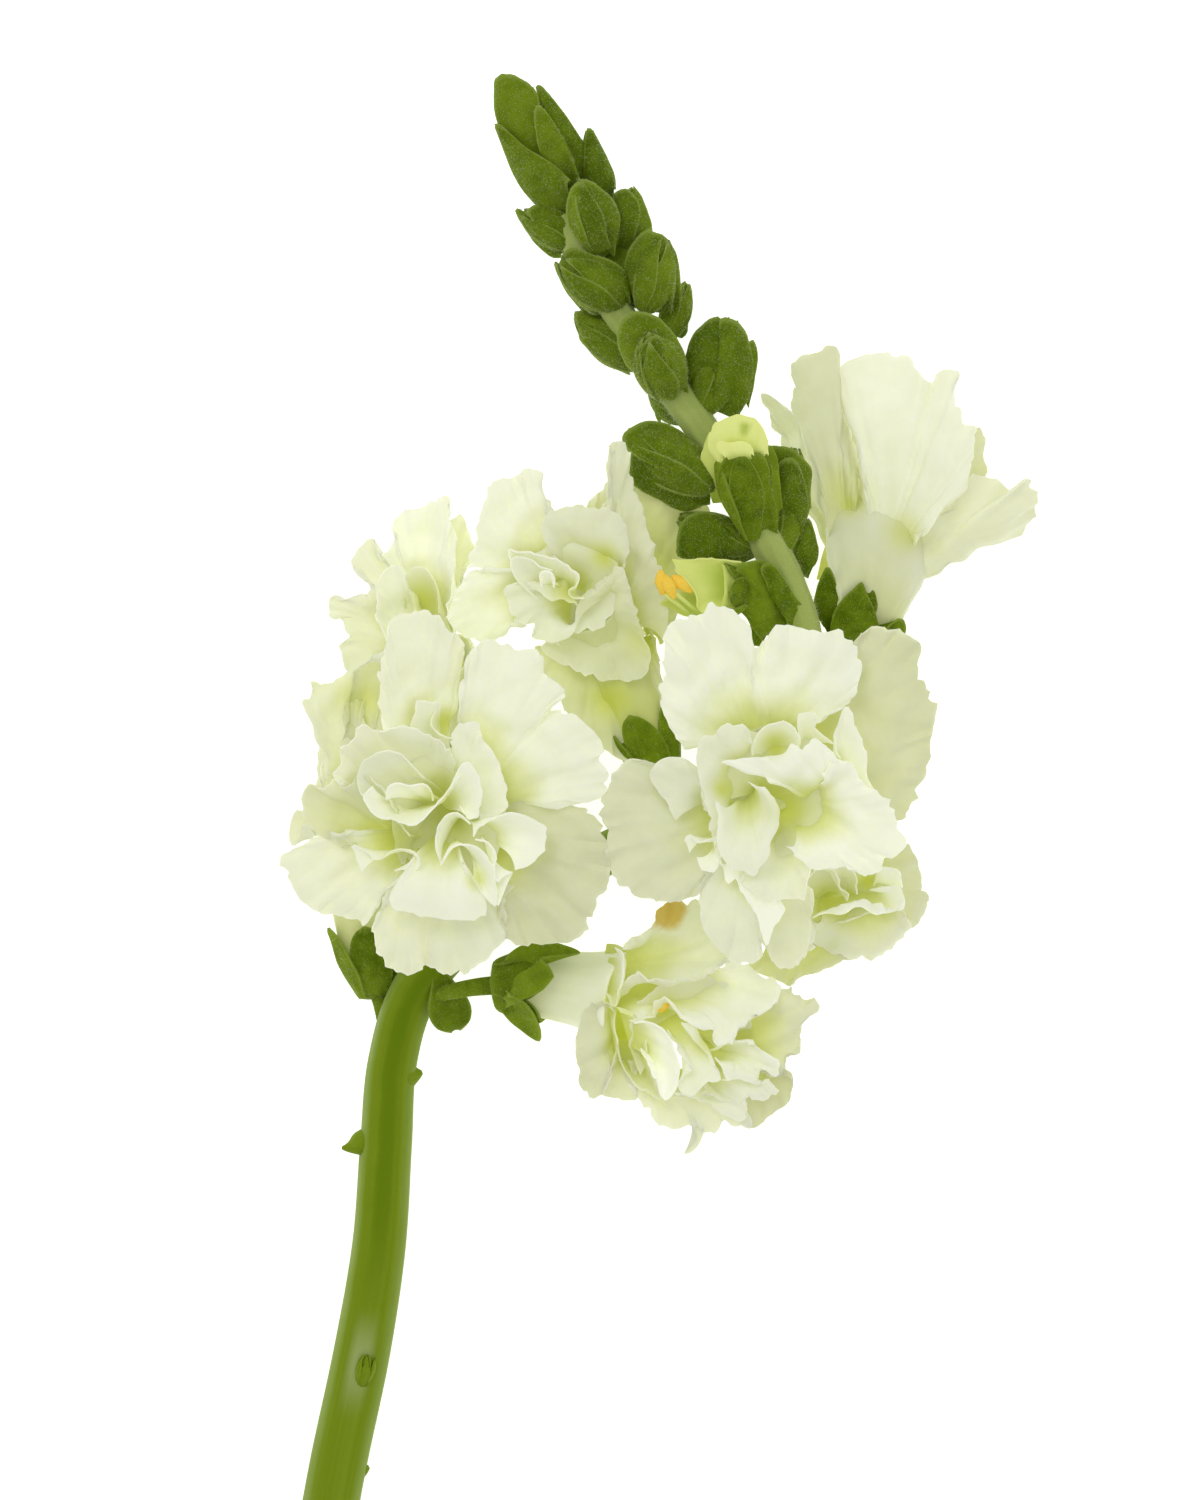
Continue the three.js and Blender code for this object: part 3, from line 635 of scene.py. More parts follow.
@dataclass(frozen=True)
class StemFinish:
    """The stem: ribbed green, paler and downy among the flowers, white at its cut."""

    name: str

    def mix(self) -> bpy.types.Material:
        """Makes the material."""
        paint = Paint(self.name)
        across, along = paint.spread()
        place = paint.place()
        patches = paint.cloud(place, 160.0, 4.0, 0.6)
        threads = paint.cloud(paint.vector(across * 34.0, along * 3.0, 0.0), 1.0, 3.0, 0.6)
        shaft = 1.0 - paint.mark("knob")
        colour = paint.blend(
            threads.step(0.3, 0.75) * 0.5, shade(116, 138, 14), shade(134, 156, 38)
        )
        # painted sheen: paler towards both sides, where the round stem's down is seen at a slant
        middle = (across - 0.5 + 0.07 * (patches - 0.5)).size()
        colour = paint.blend(middle.step(0.09, 0.26) * 0.8 * shaft, colour, shade(150, 171, 92))
        streak = middle.step(0.09, 0.02) * along.step(0.12, 0.2) * along.step(0.46, 0.3)
        colour = paint.blend(streak * 0.85 * shaft, colour, shade(100, 126, 0))
        upper = along.step(0.44, 0.62) * shaft * (0.7 + 0.5 * (patches - 0.5))
        colour = paint.blend(upper * 1.2, colour, shade(176, 190, 108))
        pale = (along - 0.115).size().step(0.028, 0.0) * (across - 0.5).size().step(0.1, 0.02)
        colour = paint.blend(pale * 0.7 * shaft, colour, shade(172, 184, 120))
        colour = paint.blend(paint.mark("cut"), colour, shade(206, 214, 160))
        paint.relief(threads * 0.3 + patches * 0.4, 0.08)
        return paint.finish(
            base_color=colour, roughness=0.45 + 0.2 * patches, specular_ior_level=0.08,
            subsurface_weight=0.08, subsurface_radius=(0.6, 1.0, 0.2), subsurface_scale=0.001,
        )


@dataclass(frozen=True)
class PollenFinish:
    """An anther: orange and mealy."""

    name: str

    def mix(self) -> bpy.types.Material:
        """Makes the material."""
        paint = Paint(self.name)
        grains = paint.specks(paint.place(), 4200.0, 0.5)
        colour = paint.blend(grains, shade(236, 196, 60), shade(252, 226, 130))
        paint.relief(grains, 0.05)
        return paint.finish(
            # painted glow: the anthers give off a little of their own colour
            base_color=colour, roughness=0.75, emission_color=colour, emission_strength=0.15
        )


@dataclass(frozen=True)
class DownFinish:
    """The short hairs of the young green: pale and a little clear."""

    name: str

    def mix(self) -> bpy.types.Material:
        """Makes the material."""
        paint = Paint(self.name)
        patches = paint.cloud(paint.place(), 300.0, 2.0)
        colour = paint.blend(patches, shade(184, 198, 126), shade(220, 228, 178))
        return paint.finish(base_color=colour, roughness=0.5, subsurface_weight=0.3)


@dataclass(frozen=True)
class TableFinish:
    """The table: plain and nearly white, with the faintest unevenness."""

    name: str

    def mix(self) -> bpy.types.Material:
        """Makes the material."""
        paint = Paint(self.name)
        patches = paint.cloud(paint.place(), 3.0, 2.0)
        colour = paint.blend(patches, shade(248, 248, 247), shade(252, 252, 251))
        return paint.finish(
            base_color=colour, roughness=0.8, specular_ior_level=0.1,
            emission_color=shade(255, 255, 255), emission_strength=0.6,
        )


class Age(Enum):
    """How far a flower is open, which decides its petals' colour."""

    YOUNG = "young"
    OPEN = "open"


@dataclass(frozen=True)
class Finishes:
    """Every material of the part."""

    petals: dict[Age, bpy.types.Material]
    scorched: bpy.types.Material
    calyx: bpy.types.Material
    bud: bpy.types.Material
    stem: bpy.types.Material
    pollen: bpy.types.Material
    down: bpy.types.Material

    @classmethod
    def mixed(cls) -> "Finishes":
        """Makes them all."""
        # each three: the painted shade of low petals, the painted light of high ones, and the
        # throat's green that also paints shade
        pale = shade(194, 196, 160), shade(241, 243, 221), shade(192, 199, 84)
        young = shade(196, 206, 104), shade(218, 224, 140), shade(150, 170, 48)
        return cls(
            petals={
                Age.OPEN: PetalFinish("petal", *pale, 0.5).mix(),
                Age.YOUNG: PetalFinish("young_petal", *young, 0.6, 0.22).mix(),
            },
            scorched=PetalFinish("petal_scorched", *pale, 0.5, scorch=True).mix(),
            # painted light: the calyx's light green is lighter than the bud's, to lift the sepals
            # that lie in the petals' shade
            calyx=LeafFinish(
                "calyx_green", shade(74, 96, 0), shade(126, 148, 28), shade(144, 164, 66), 0.12
            ).mix(),
            bud=LeafFinish(
                "bud_green", shade(72, 94, 0), shade(112, 134, 20), shade(152, 172, 80), 0.4
            ).mix(),
            stem=StemFinish("stem_green").mix(),
            pollen=PollenFinish("pollen").mix(),
            down=DownFinish("white_down").mix(),
        )


# ------------------------------------------------------------------ petals
PETAL_THICK = 0.24
LEAF_THICK = 0.32
SOFTENING = 3.4  # millimetres of rim over which a petal's inner part forgets its notches
RIM_STEPS = 300  # into how many even steps a rim is cut
RIM_CELL, ROW_CELL = 0.62, 0.8  # millimetres between a petal's points, along and across its rim
LOWEST = 0.7  # the height over the table that petals keep to
FULL_RIM = 45.0  # a rim shorter than this has smaller teeth


@dataclass(frozen=True)
class Petal:
    """One petal, spread from its foot to a rim that runs through given points.

    Attributes:
        root: The middle of its foot.
        rim: The points of its free edge, from one side of the foot round to the other:
            each point's x, y and z in tenths of a millimetre.
        early: How soon it comes up to its rim: 1 is evenly, more is sooner.
        swell: Millimetres that its middle bulges out of the flower, or in where negative.
        crimp: Height of the small waves along the rim.
        neck: Width of its foot, or 0 for a share of the rim's reach.
        pleat: Height of the soft folds from the foot to the rim.
        tone_and_shade: How light it is, 0 to 1, which also paints shade on the petals that lie low
            or under others.
        green: How green it is, 0 to 1, most near its foot; this green partly paints the shade deep
            in the flower.
        up: Whether it bulges straight up, and not out of its flower.
    """

    root: Triple
    rim: tuple[int, ...]
    early: float = 1.8
    swell: float = 0.6
    crimp: float = 0.52
    neck: float = 0.0
    pleat: float = 0.1
    tone_and_shade: float = 0.5
    green: float = 0.0
    up: bool = False

    @property
    def points(self) -> Array:
        """The points of its rim, in millimetres."""
        return np.reshape(self.rim, (-1, 3)) / 10.0

    @property
    def phase(self) -> float:
        """A number of its own that shifts its waves."""
        return float(0.7 * self.root[0] + 1.3 * self.points[0, 1])

    def edge(self) -> tuple[Array, Array, float]:
        """Measures its rim.

        Returns:
            The rim in even steps, the same without its notches, and its length.
        """
        line, shares = through(self.points), np.linspace(0.0, 1.0, RIM_STEPS + 1)
        run = np.linalg.norm(np.diff(line(shares), axis=0), axis=1).cumsum()
        run = np.concatenate([[0.0], run])
        rim = line(np.interp(np.linspace(0.0, run[-1], RIM_STEPS + 1), run, shares))
        near = np.arange(RIM_STEPS + 1) * run[-1] / float(RIM_STEPS)
        weight = np.exp(-(((near[:, None] - near) / SOFTENING) ** 2))
        return rim, weight @ rim / weight.sum(axis=1)[:, None], float(run[-1])

    def plain(self, across: Array, along: Array, axis: Array) -> Array:
        """Spreads the petal without its waves, and with its notches only near the rim.

        Args:
            across: Places from side to side, -1 to 1.
            along: Places from foot to rim, 0 to 1.
            axis: The direction out of the flower.

        Returns:
            The points.
        """
        ragged, calm, _ = self.edge()
        place, marks = (across + 1.0) / 2.0 * RIM_STEPS, np.arange(RIM_STEPS + 1)
        ragged_at, calm_at = (
            np.stack([np.interp(place, marks, values) for values in line.T], axis=1)
            for line in (ragged, calm)
        )
        rim = calm_at + (ragged_at - calm_at) * along[:, None] ** 2.5
        chord = self.points[-1] - self.points[0]
        neck = self.neck or 0.5 * np.linalg.norm(chord)
        foot = np.asarray(self.root) + (0.5 * neck * across)[:, None] * unit(chord)
        reach = rim - foot
        sooner = 1.0 - (1.0 - along) ** self.early - along
        bulge = self.swell * hump(along) * (1.0 - 0.4 * across**2)
        return foot + reach * along[:, None] + ((reach @ axis) * sooner + bulge)[:, None] * axis

    def lay(self, across: Array, along: Array, axis: Array) -> Array:
        """Spreads the petal with its folds and the small waves of its rim.

        Args:
            across: Places from side to side, -1 to 1.
            along: Places from foot to rim, 0 to 1.
            axis: The direction out of the flower.

        Returns:
            The points.
        """
        step = 0.02
        spot = self.plain(across, along, axis)
        sides = self.plain(across + step, along, axis) - self.plain(across - step, along, axis)
        held = np.maximum(along, 0.1)
        ahead = self.plain(across, held, axis) - self.plain(across, held - step, axis)
        facing = np.cross(sides, ahead)
        facing /= np.linalg.norm(facing, axis=1)[:, None] + 1e-9
        length = self.edge()[2]
        run, phase = 0.5 * length * across, self.phase
        fade = 0.65 + 0.35 * np.sin(0.31 * run + 1.9 * phase)
        wave = 0.6 * np.sin(1.75 * run + 2.0 * np.sin(0.23 * run + phase) + phase)
        wave += 0.45 * np.sin(3.1 * run + 2.3 * phase) + 0.2 * np.sin(5.3 * run + 4.1 * phase)
        folds = np.sin(0.93 * run + 1.5 * np.sin(0.4 * run + phase) + 1.7 * phase)
        x, y, _ = spot.T
        dells = np.sin(0.62 * x + 1.3 * np.sin(0.5 * y) + phase)
        dells = dells * np.sin(0.66 * y + 1.2 * np.sin(0.47 * x) + 2.0 * phase)
        lifted = self.crimp * fade * wave * along**4 + self.pleat * folds * hump(0.9 * along)
        lifted += 1.5 * self.crimp * dells * hump(0.15 + 0.75 * along)
        teeth = 0.34 * np.sin(1.9 * run + 1.3 * phase) + 0.25 * np.sin(3.3 * run + 2.9 * phase)
        teeth += 0.12 * np.sin(6.1 * run + 0.9 * phase)
        teeth *= min(1.0, length / FULL_RIM, 5.0 * self.crimp) * (
            0.55 + 0.45 * np.sin(0.43 * run + 2.7 * phase)
        )
        out = ahead / (np.linalg.norm(ahead, axis=1)[:, None] + 1e-9)
        spot = spot + lifted[:, None] * facing + (teeth * along**6)[:, None] * out
        spot[:, 2] = np.maximum(spot[:, 2], LOWEST)
        return spot

    def build(self, name: str, axis: Array, thick: float) -> bpy.types.Object:
        """Makes the blade.

        Args:
            name: Its name.
            axis: The direction out of the flower, or away from what it covers.
            thick: Its thickness.

        Returns:
            The piece.
        """
        out = np.asarray(UP) if self.up else axis

        def form(across: Array, along: Array) -> Array:
            """Lays the blade, with more of its rows near the rim."""
            return self.lay(across, 1.0 - (1.0 - along) ** 1.25, out)

        reach = np.linalg.norm(self.points - self.root, axis=1).mean()
        sizes = self.edge()[2] / RIM_CELL, reach / ROW_CELL
        columns, rows = np.clip(sizes, (16, 8), (116, 26)).astype(int)
        made = Bench.thicken(Bench.sheet(name, int(columns), int(rows), form), thick)
        Bench.mark(made, "tone_and_shade", self.tone_and_shade)
        Bench.mark(made, "green", self.green)
        Bench.mark(made, "outside", float(self.up))
        return made


@dataclass(frozen=True)
class Leaf(Petal):
    """A bract or a sepal: a blade with a nearly even rim, a narrow foot and no folds."""

    crimp: float = 0.03
    neck: float = 3.0
    pleat: float = 0.0


# ------------------------------------------------------------------ sepals
SEPAL_TURNS = (0.0, 72.0, 144.0, 216.0, 288.0)


@dataclass(frozen=True)
class Sepal:
    """One sepal or bract that lies along a line, over the skin of what it holds.

    Attributes:
        turn: Degrees round the line.
        spread: Degrees to each side where it is widest.
        start: Share of the line where it starts.
        end: Share of the line that its point reaches.
        lift: Millimetres that it lies over the skin.
        flare: Millimetres that its point stands away.
        tuck: Millimetres that one edge lies over the next sepal and the other under.
        keel: Height of the ridge along its middle.
        blunt: How round its point is: 1 is sharp, less is rounder.
        thick: Thickness of the blade.
    """

    turn: float
    spread: float
    start: float
    end: float
    lift: float = 0.3
    flare: float = 0.0
    tuck: float = 0.22
    keel: float = 0.18
    blunt: float = 0.62
    thick: float = 0.34

    def build(
        self, name: str, way: Way, skin: Callable[[Array], Array], tone_and_shade: float
    ) -> bpy.types.Object:
        """Makes the sepal.

        Args:
            name: Its name.
            way: The line it lies along.
            skin: Radius of what it lies on, at shares of the line.
            tone_and_shade: How light it is, 0 to 1.

        Returns:
            The piece.
        """
        def form(across: Array, along: Array) -> Array:
            """Lays the blade round the line."""
            width = (0.74 + 0.26 * smooth_step(along, 0.0, 0.35)) * (1.0 - along**2.6) ** self.blunt
            share = self.start + (self.end - self.start) * along
            turns = np.radians(self.turn + self.spread * across * width)
            over = self.lift + self.tuck * across * hump(0.1 + 0.9 * along)
            keel = self.keel * np.exp(-((across / 0.17) ** 2)) * hump(along)
            over += self.flare * along**2.2 + keel
            over += 0.07 * np.sin(9.0 * across + 5.0 * tone_and_shade) * np.sin(7.0 * along + 9.0 * tone_and_shade)
            return way.spot(share, turns, skin(share) + over)

        made = Bench.thicken(Bench.sheet(name, 14, 18, form), self.thick)
        Bench.mark(made, "tone_and_shade", tone_and_shade)
        return made


def stalk(
    name: str, start: Triple, end: Array, arrive: Sequence[float], size: float
) -> bpy.types.Object:
    """Makes the short stalk from the stem to a flower.

    Args:
        name: Its name.
        start: Where it leaves the stem's middle.
        end: The foot of the flower.
        arrive: The direction of the flower there.
        size: The flower's scale.

    Returns:
        The piece.
    """
    inside = end + unit(arrive)
    way = bow(start, end - np.asarray(start), tuple(inside), arrive)
    profile = ((0.0, 0.95 * size), (0.5, 1.1 * size), (1.0, 1.35 * size))

    def ribs(_: Array, turns: Array) -> Array:
        """Gives the shallow ribs along it."""
        return 0.06 * np.cos(5.0 * turns)

    made = Bench.rolled(name, way, fine_rings(profile, 14), 20, ribs)
    Bench.mark(made, "tone_and_shade", 0.7)
    return made


# ------------------------------------------------------------------ flowers
# radius of a flower's tube against the share of its length, outside and down the throat
TUBE_OUTSIDE: Profile = ((0.02, 2.5), (0.16, 3.7), (0.4, 4.2), (0.7, 4.8), (0.94, 5.9), (1.0, 6.0))
TUBE_INSIDE: Profile = ((1.0, 5.6), (0.92, 4.9), (0.78, 4.1), (0.5, 3.2))
CALYX_SKIN: Profile = ((-0.17, 0.8), (-0.1, 2.6))  # shares of the calyx's length
OVER_TUBE = 0.45  # millimetres by which a calyx is wider than its tube
SHADE_POOL_REACH = 3.2  # a patch of painted shade wider than this is fainter
THREAD: Profile = ((0.0, 0.36), (0.5, 0.3), (1.0, 0.34))


@dataclass(frozen=True)
class Bract:
    """A spoon-shaped bract from its foot to its tip."""

    foot: Triple
    tip: Triple
    half: float

    def build(self, name: str) -> bpy.types.Object:
        """Makes the bract."""
        along = np.subtract(self.tip, self.foot)
        way = bow(self.foot, along + (0, 0, 4), self.tip, along - (0, 0, 4))

        def form(across: Array, far: Array) -> Array:
            """Lays the spoon along its line."""
            point, _, normal, binormal = way.frame(far)
            wide = self.half * np.maximum(0.3, hump(0.1 + 0.72 * far**1.3))
            wide *= np.sqrt(np.maximum(0.0, 1.0 - np.maximum(0.0, (far - 0.86) / 0.15) ** 2))
            lift = 0.16 * self.half * across**2 - 0.14 * np.exp(-((across / 0.15) ** 2))
            return point + (wide * across)[:, None] * binormal + lift[:, None] * normal

        made = Bench.thicken(Bench.sheet(name, 16, 24, form), 0.4)
        Bench.mark(made, "tone_and_shade", 0.5)
        return made


def leaves_of(node: str, axis: Sequence[float] = UP) -> list[bpy.types.Object]:
    """Makes the bracts and sepals that lie over one of the solids.

    Args:
        node: The solid.
        axis: The direction away from what they cover.

    Returns:
        The pieces.
    """
    return [
        leaf.build(f"leaf_{node}_{number}", unit(axis), LEAF_THICK)
        for number, leaf in enumerate(LEAVES.get(node, ()))
    ]


@dataclass(frozen=True)
class Flower:
    """One flower: its stalk and calyx, and its tube with the petals round the mouth.

    Attributes:
        name: Its place in the bunch, as the solids have it.
        mouth: The middle of the tube's mouth.
        facing: The direction out of the mouth.
        base: Where the tube starts.
        rise: The direction it starts in.
        stalk: The point of the stem that carries it.
        top: The side that petals are counted from.
        scale: Size of its tube and calyx.
        age: How far it is open.
        lip: Share of the tube at which it ends in petals.
        cup: How far its sepals reach.
        shade_pools: Middles and radii of the hollows where shade is painted into its petals as a
            deeper green.
        green: How green its tube is, 0 to 1.
        pale: How light its tube is, 0 to 1.
        bract: The bract at its foot, if it has one.
        threads: Feet and tips of the filaments that show.
        scorch: Middle and radius of the place where its petals are brown.
    """

    name: str
    mouth: Triple
    facing: Triple
    base: Triple
    rise: Triple
    stalk: Triple
    top: Triple = AHEAD
    scale: float = 1.0
    age: Age = Age.OPEN
    lip: float = 1.0
    cup: float = 8.5
    shade_pools: tuple[tuple[Triple, float], ...] = ()
    green: float = 0.3
    pale: float = 0.4
    bract: Bract | None = None
    threads: tuple[tuple[Triple, Triple], ...] = ()
    scorch: tuple[Triple, float] | None = None

    def stand(self) -> tuple[Array, Array, Array]:
        """Gives the directions to its top, to its side and out of its mouth."""
        axis = unit(self.facing)
        top = unit(np.asarray(self.top) - axis * np.dot(self.top, axis))
        return top, np.cross(axis, top), axis

    def tube(self) -> Way:
        """Gives the middle line of its tube."""
        return bow(self.base, self.rise, self.mouth, self.facing, self.stand()[0])

    def skin(self, shares: Array) -> Array:
        """Gives the tube's radius at shares of its line."""
        table = np.array(TUBE_OUTSIDE)
        return np.interp(shares, table[:, 0], table[:, 1]) * self.scale

    def throat(self) -> bpy.types.Object:
        """Makes the tube, open down its throat."""
        outside = through(TUBE_OUTSIDE)(np.linspace(0.0, 1.0, 30))
        inside = through(TUBE_INSIDE)(np.linspace(0.0, 1.0, 12))
        rings = np.vstack([[outside[0, 0], 0.0], outside, inside, [inside[-1, 0], 0.0]])
        rings *= (self.lip, self.scale)

        def ribs(shares: Array, turns: Array) -> Array:
            """Gives the soft folds along the tube."""
            swell = smooth_step(shares, 0.1, 0.5)
            return 0.16 * np.cos(5.0 * turns + 0.6) * swell + 0.07 * np.cos(11.0 * turns) * swell

        made = Bench.rolled(f"throat_{self.name}", self.tube(), rings, 48, ribs)
        Bench.mark(made, "tone_and_shade", self.pale)
        Bench.mark(made, "green", self.green)
        return made

    def corolla(self, finishes: Finishes) -> bpy.types.Object:
        """Makes the tube and all the petals."""
        parts = [self.throat()] + [
            petal.build(f"petal_{self.name}_{number}", self.stand()[2], PETAL_THICK)
            for number, petal in enumerate(PETALS[self.name])
        ]
        for number, (foot, tip) in enumerate(self.threads):
            way = bow(foot, np.subtract(tip, foot), tip, np.subtract(tip, foot))
            thread = Bench.rolled(f"thread_{number}", way, fine_rings(THREAD, 8), 10)
            Bench.mark(thread, "tone_and_shade", 1.0)
            Bench.mark(thread, "green", 0.3)
            parts.append(thread)
        made = Bench.join(f"flower_{self.name}", parts)
        points = Bench.points(made)

        def near(middle: Triple, radius: float) -> Array:
            """Says how near each point is, 1 in the middle and 0 at the radius."""
            away = np.linalg.norm((points - middle) * (1.0, 1.0, 0.4), axis=1)
            return 1.0 - smooth_step(away, 0.0, radius)

        # painted shade: the hollows between the petals turn a deeper green
        shade_pool = np.zeros(len(points))
        for middle, radius in self.shade_pools:
            shade_pool = np.maximum(shade_pool, near(middle, radius) * min(1.0, SHADE_POOL_REACH / radius))
        Bench.mark(made, "shade_pool", shade_pool)
        finish = finishes.petals[self.age]
        if self.scorch is not None:
            Bench.mark(made, "scorch", near(*self.scorch))
            finish = finishes.scorched
        slot = "petal" if self.age is Age.OPEN else "young_petal"
        return Bench.dress(made, finish, slot, f"corolla_{self.name}")

    def calyx(self, finishes: Finishes) -> bpy.types.Object:
        """Makes the stalk, the cup and the five sepals."""
        way = self.tube()
        long = self.cup / way.length
        knee = TUBE_OUTSIDE[1][0]
        profile = [(share * long, radius * self.scale) for share, radius in CALYX_SKIN]
        profile += [(knee, float(self.skin(np.array([knee]))[0]) + OVER_TUBE)]
        table = np.array(profile)

        def skin(shares: Array) -> Array:
            """Gives the radius under the sepals."""
            under = np.interp(shares, table[:, 0], table[:, 1])
            return np.where(shares < knee, under, self.skin(shares) + OVER_TUBE)

        cup = Bench.rolled(f"cup_{self.name}", way, fine_rings(profile, 12), 30)
        Bench.mark(cup, "tone_and_shade", 0.3)
        foot = way.frame(np.array([profile[0][0]]))[0][0]
        parts = [cup, stalk(f"stalk_{self.name}", self.stalk, foot, self.rise, 1.0)]
        for number, turn in enumerate(SEPAL_TURNS):
            end = long * (1.0 + 0.06 * math.sin(2.1 * number))
            sepal = Sepal(turn, 45.0, profile[0][0], end, 0.32, 0.5, 0.26)
            parts.append(sepal.build(f"sepal_{self.name}_{number}", way, skin, 0.2 + 0.14 * number))
        if self.bract is not None:
            parts.append(self.bract.build(f"bract_{self.name}"))
        parts += leaves_of(f"calyx_{self.name}", self.stand()[0] if self.top == UP else UP)
        made = Bench.join(f"green_{self.name}", parts)
        return Bench.dress(made, finishes.calyx, "calyx", f"calyx_{self.name}")


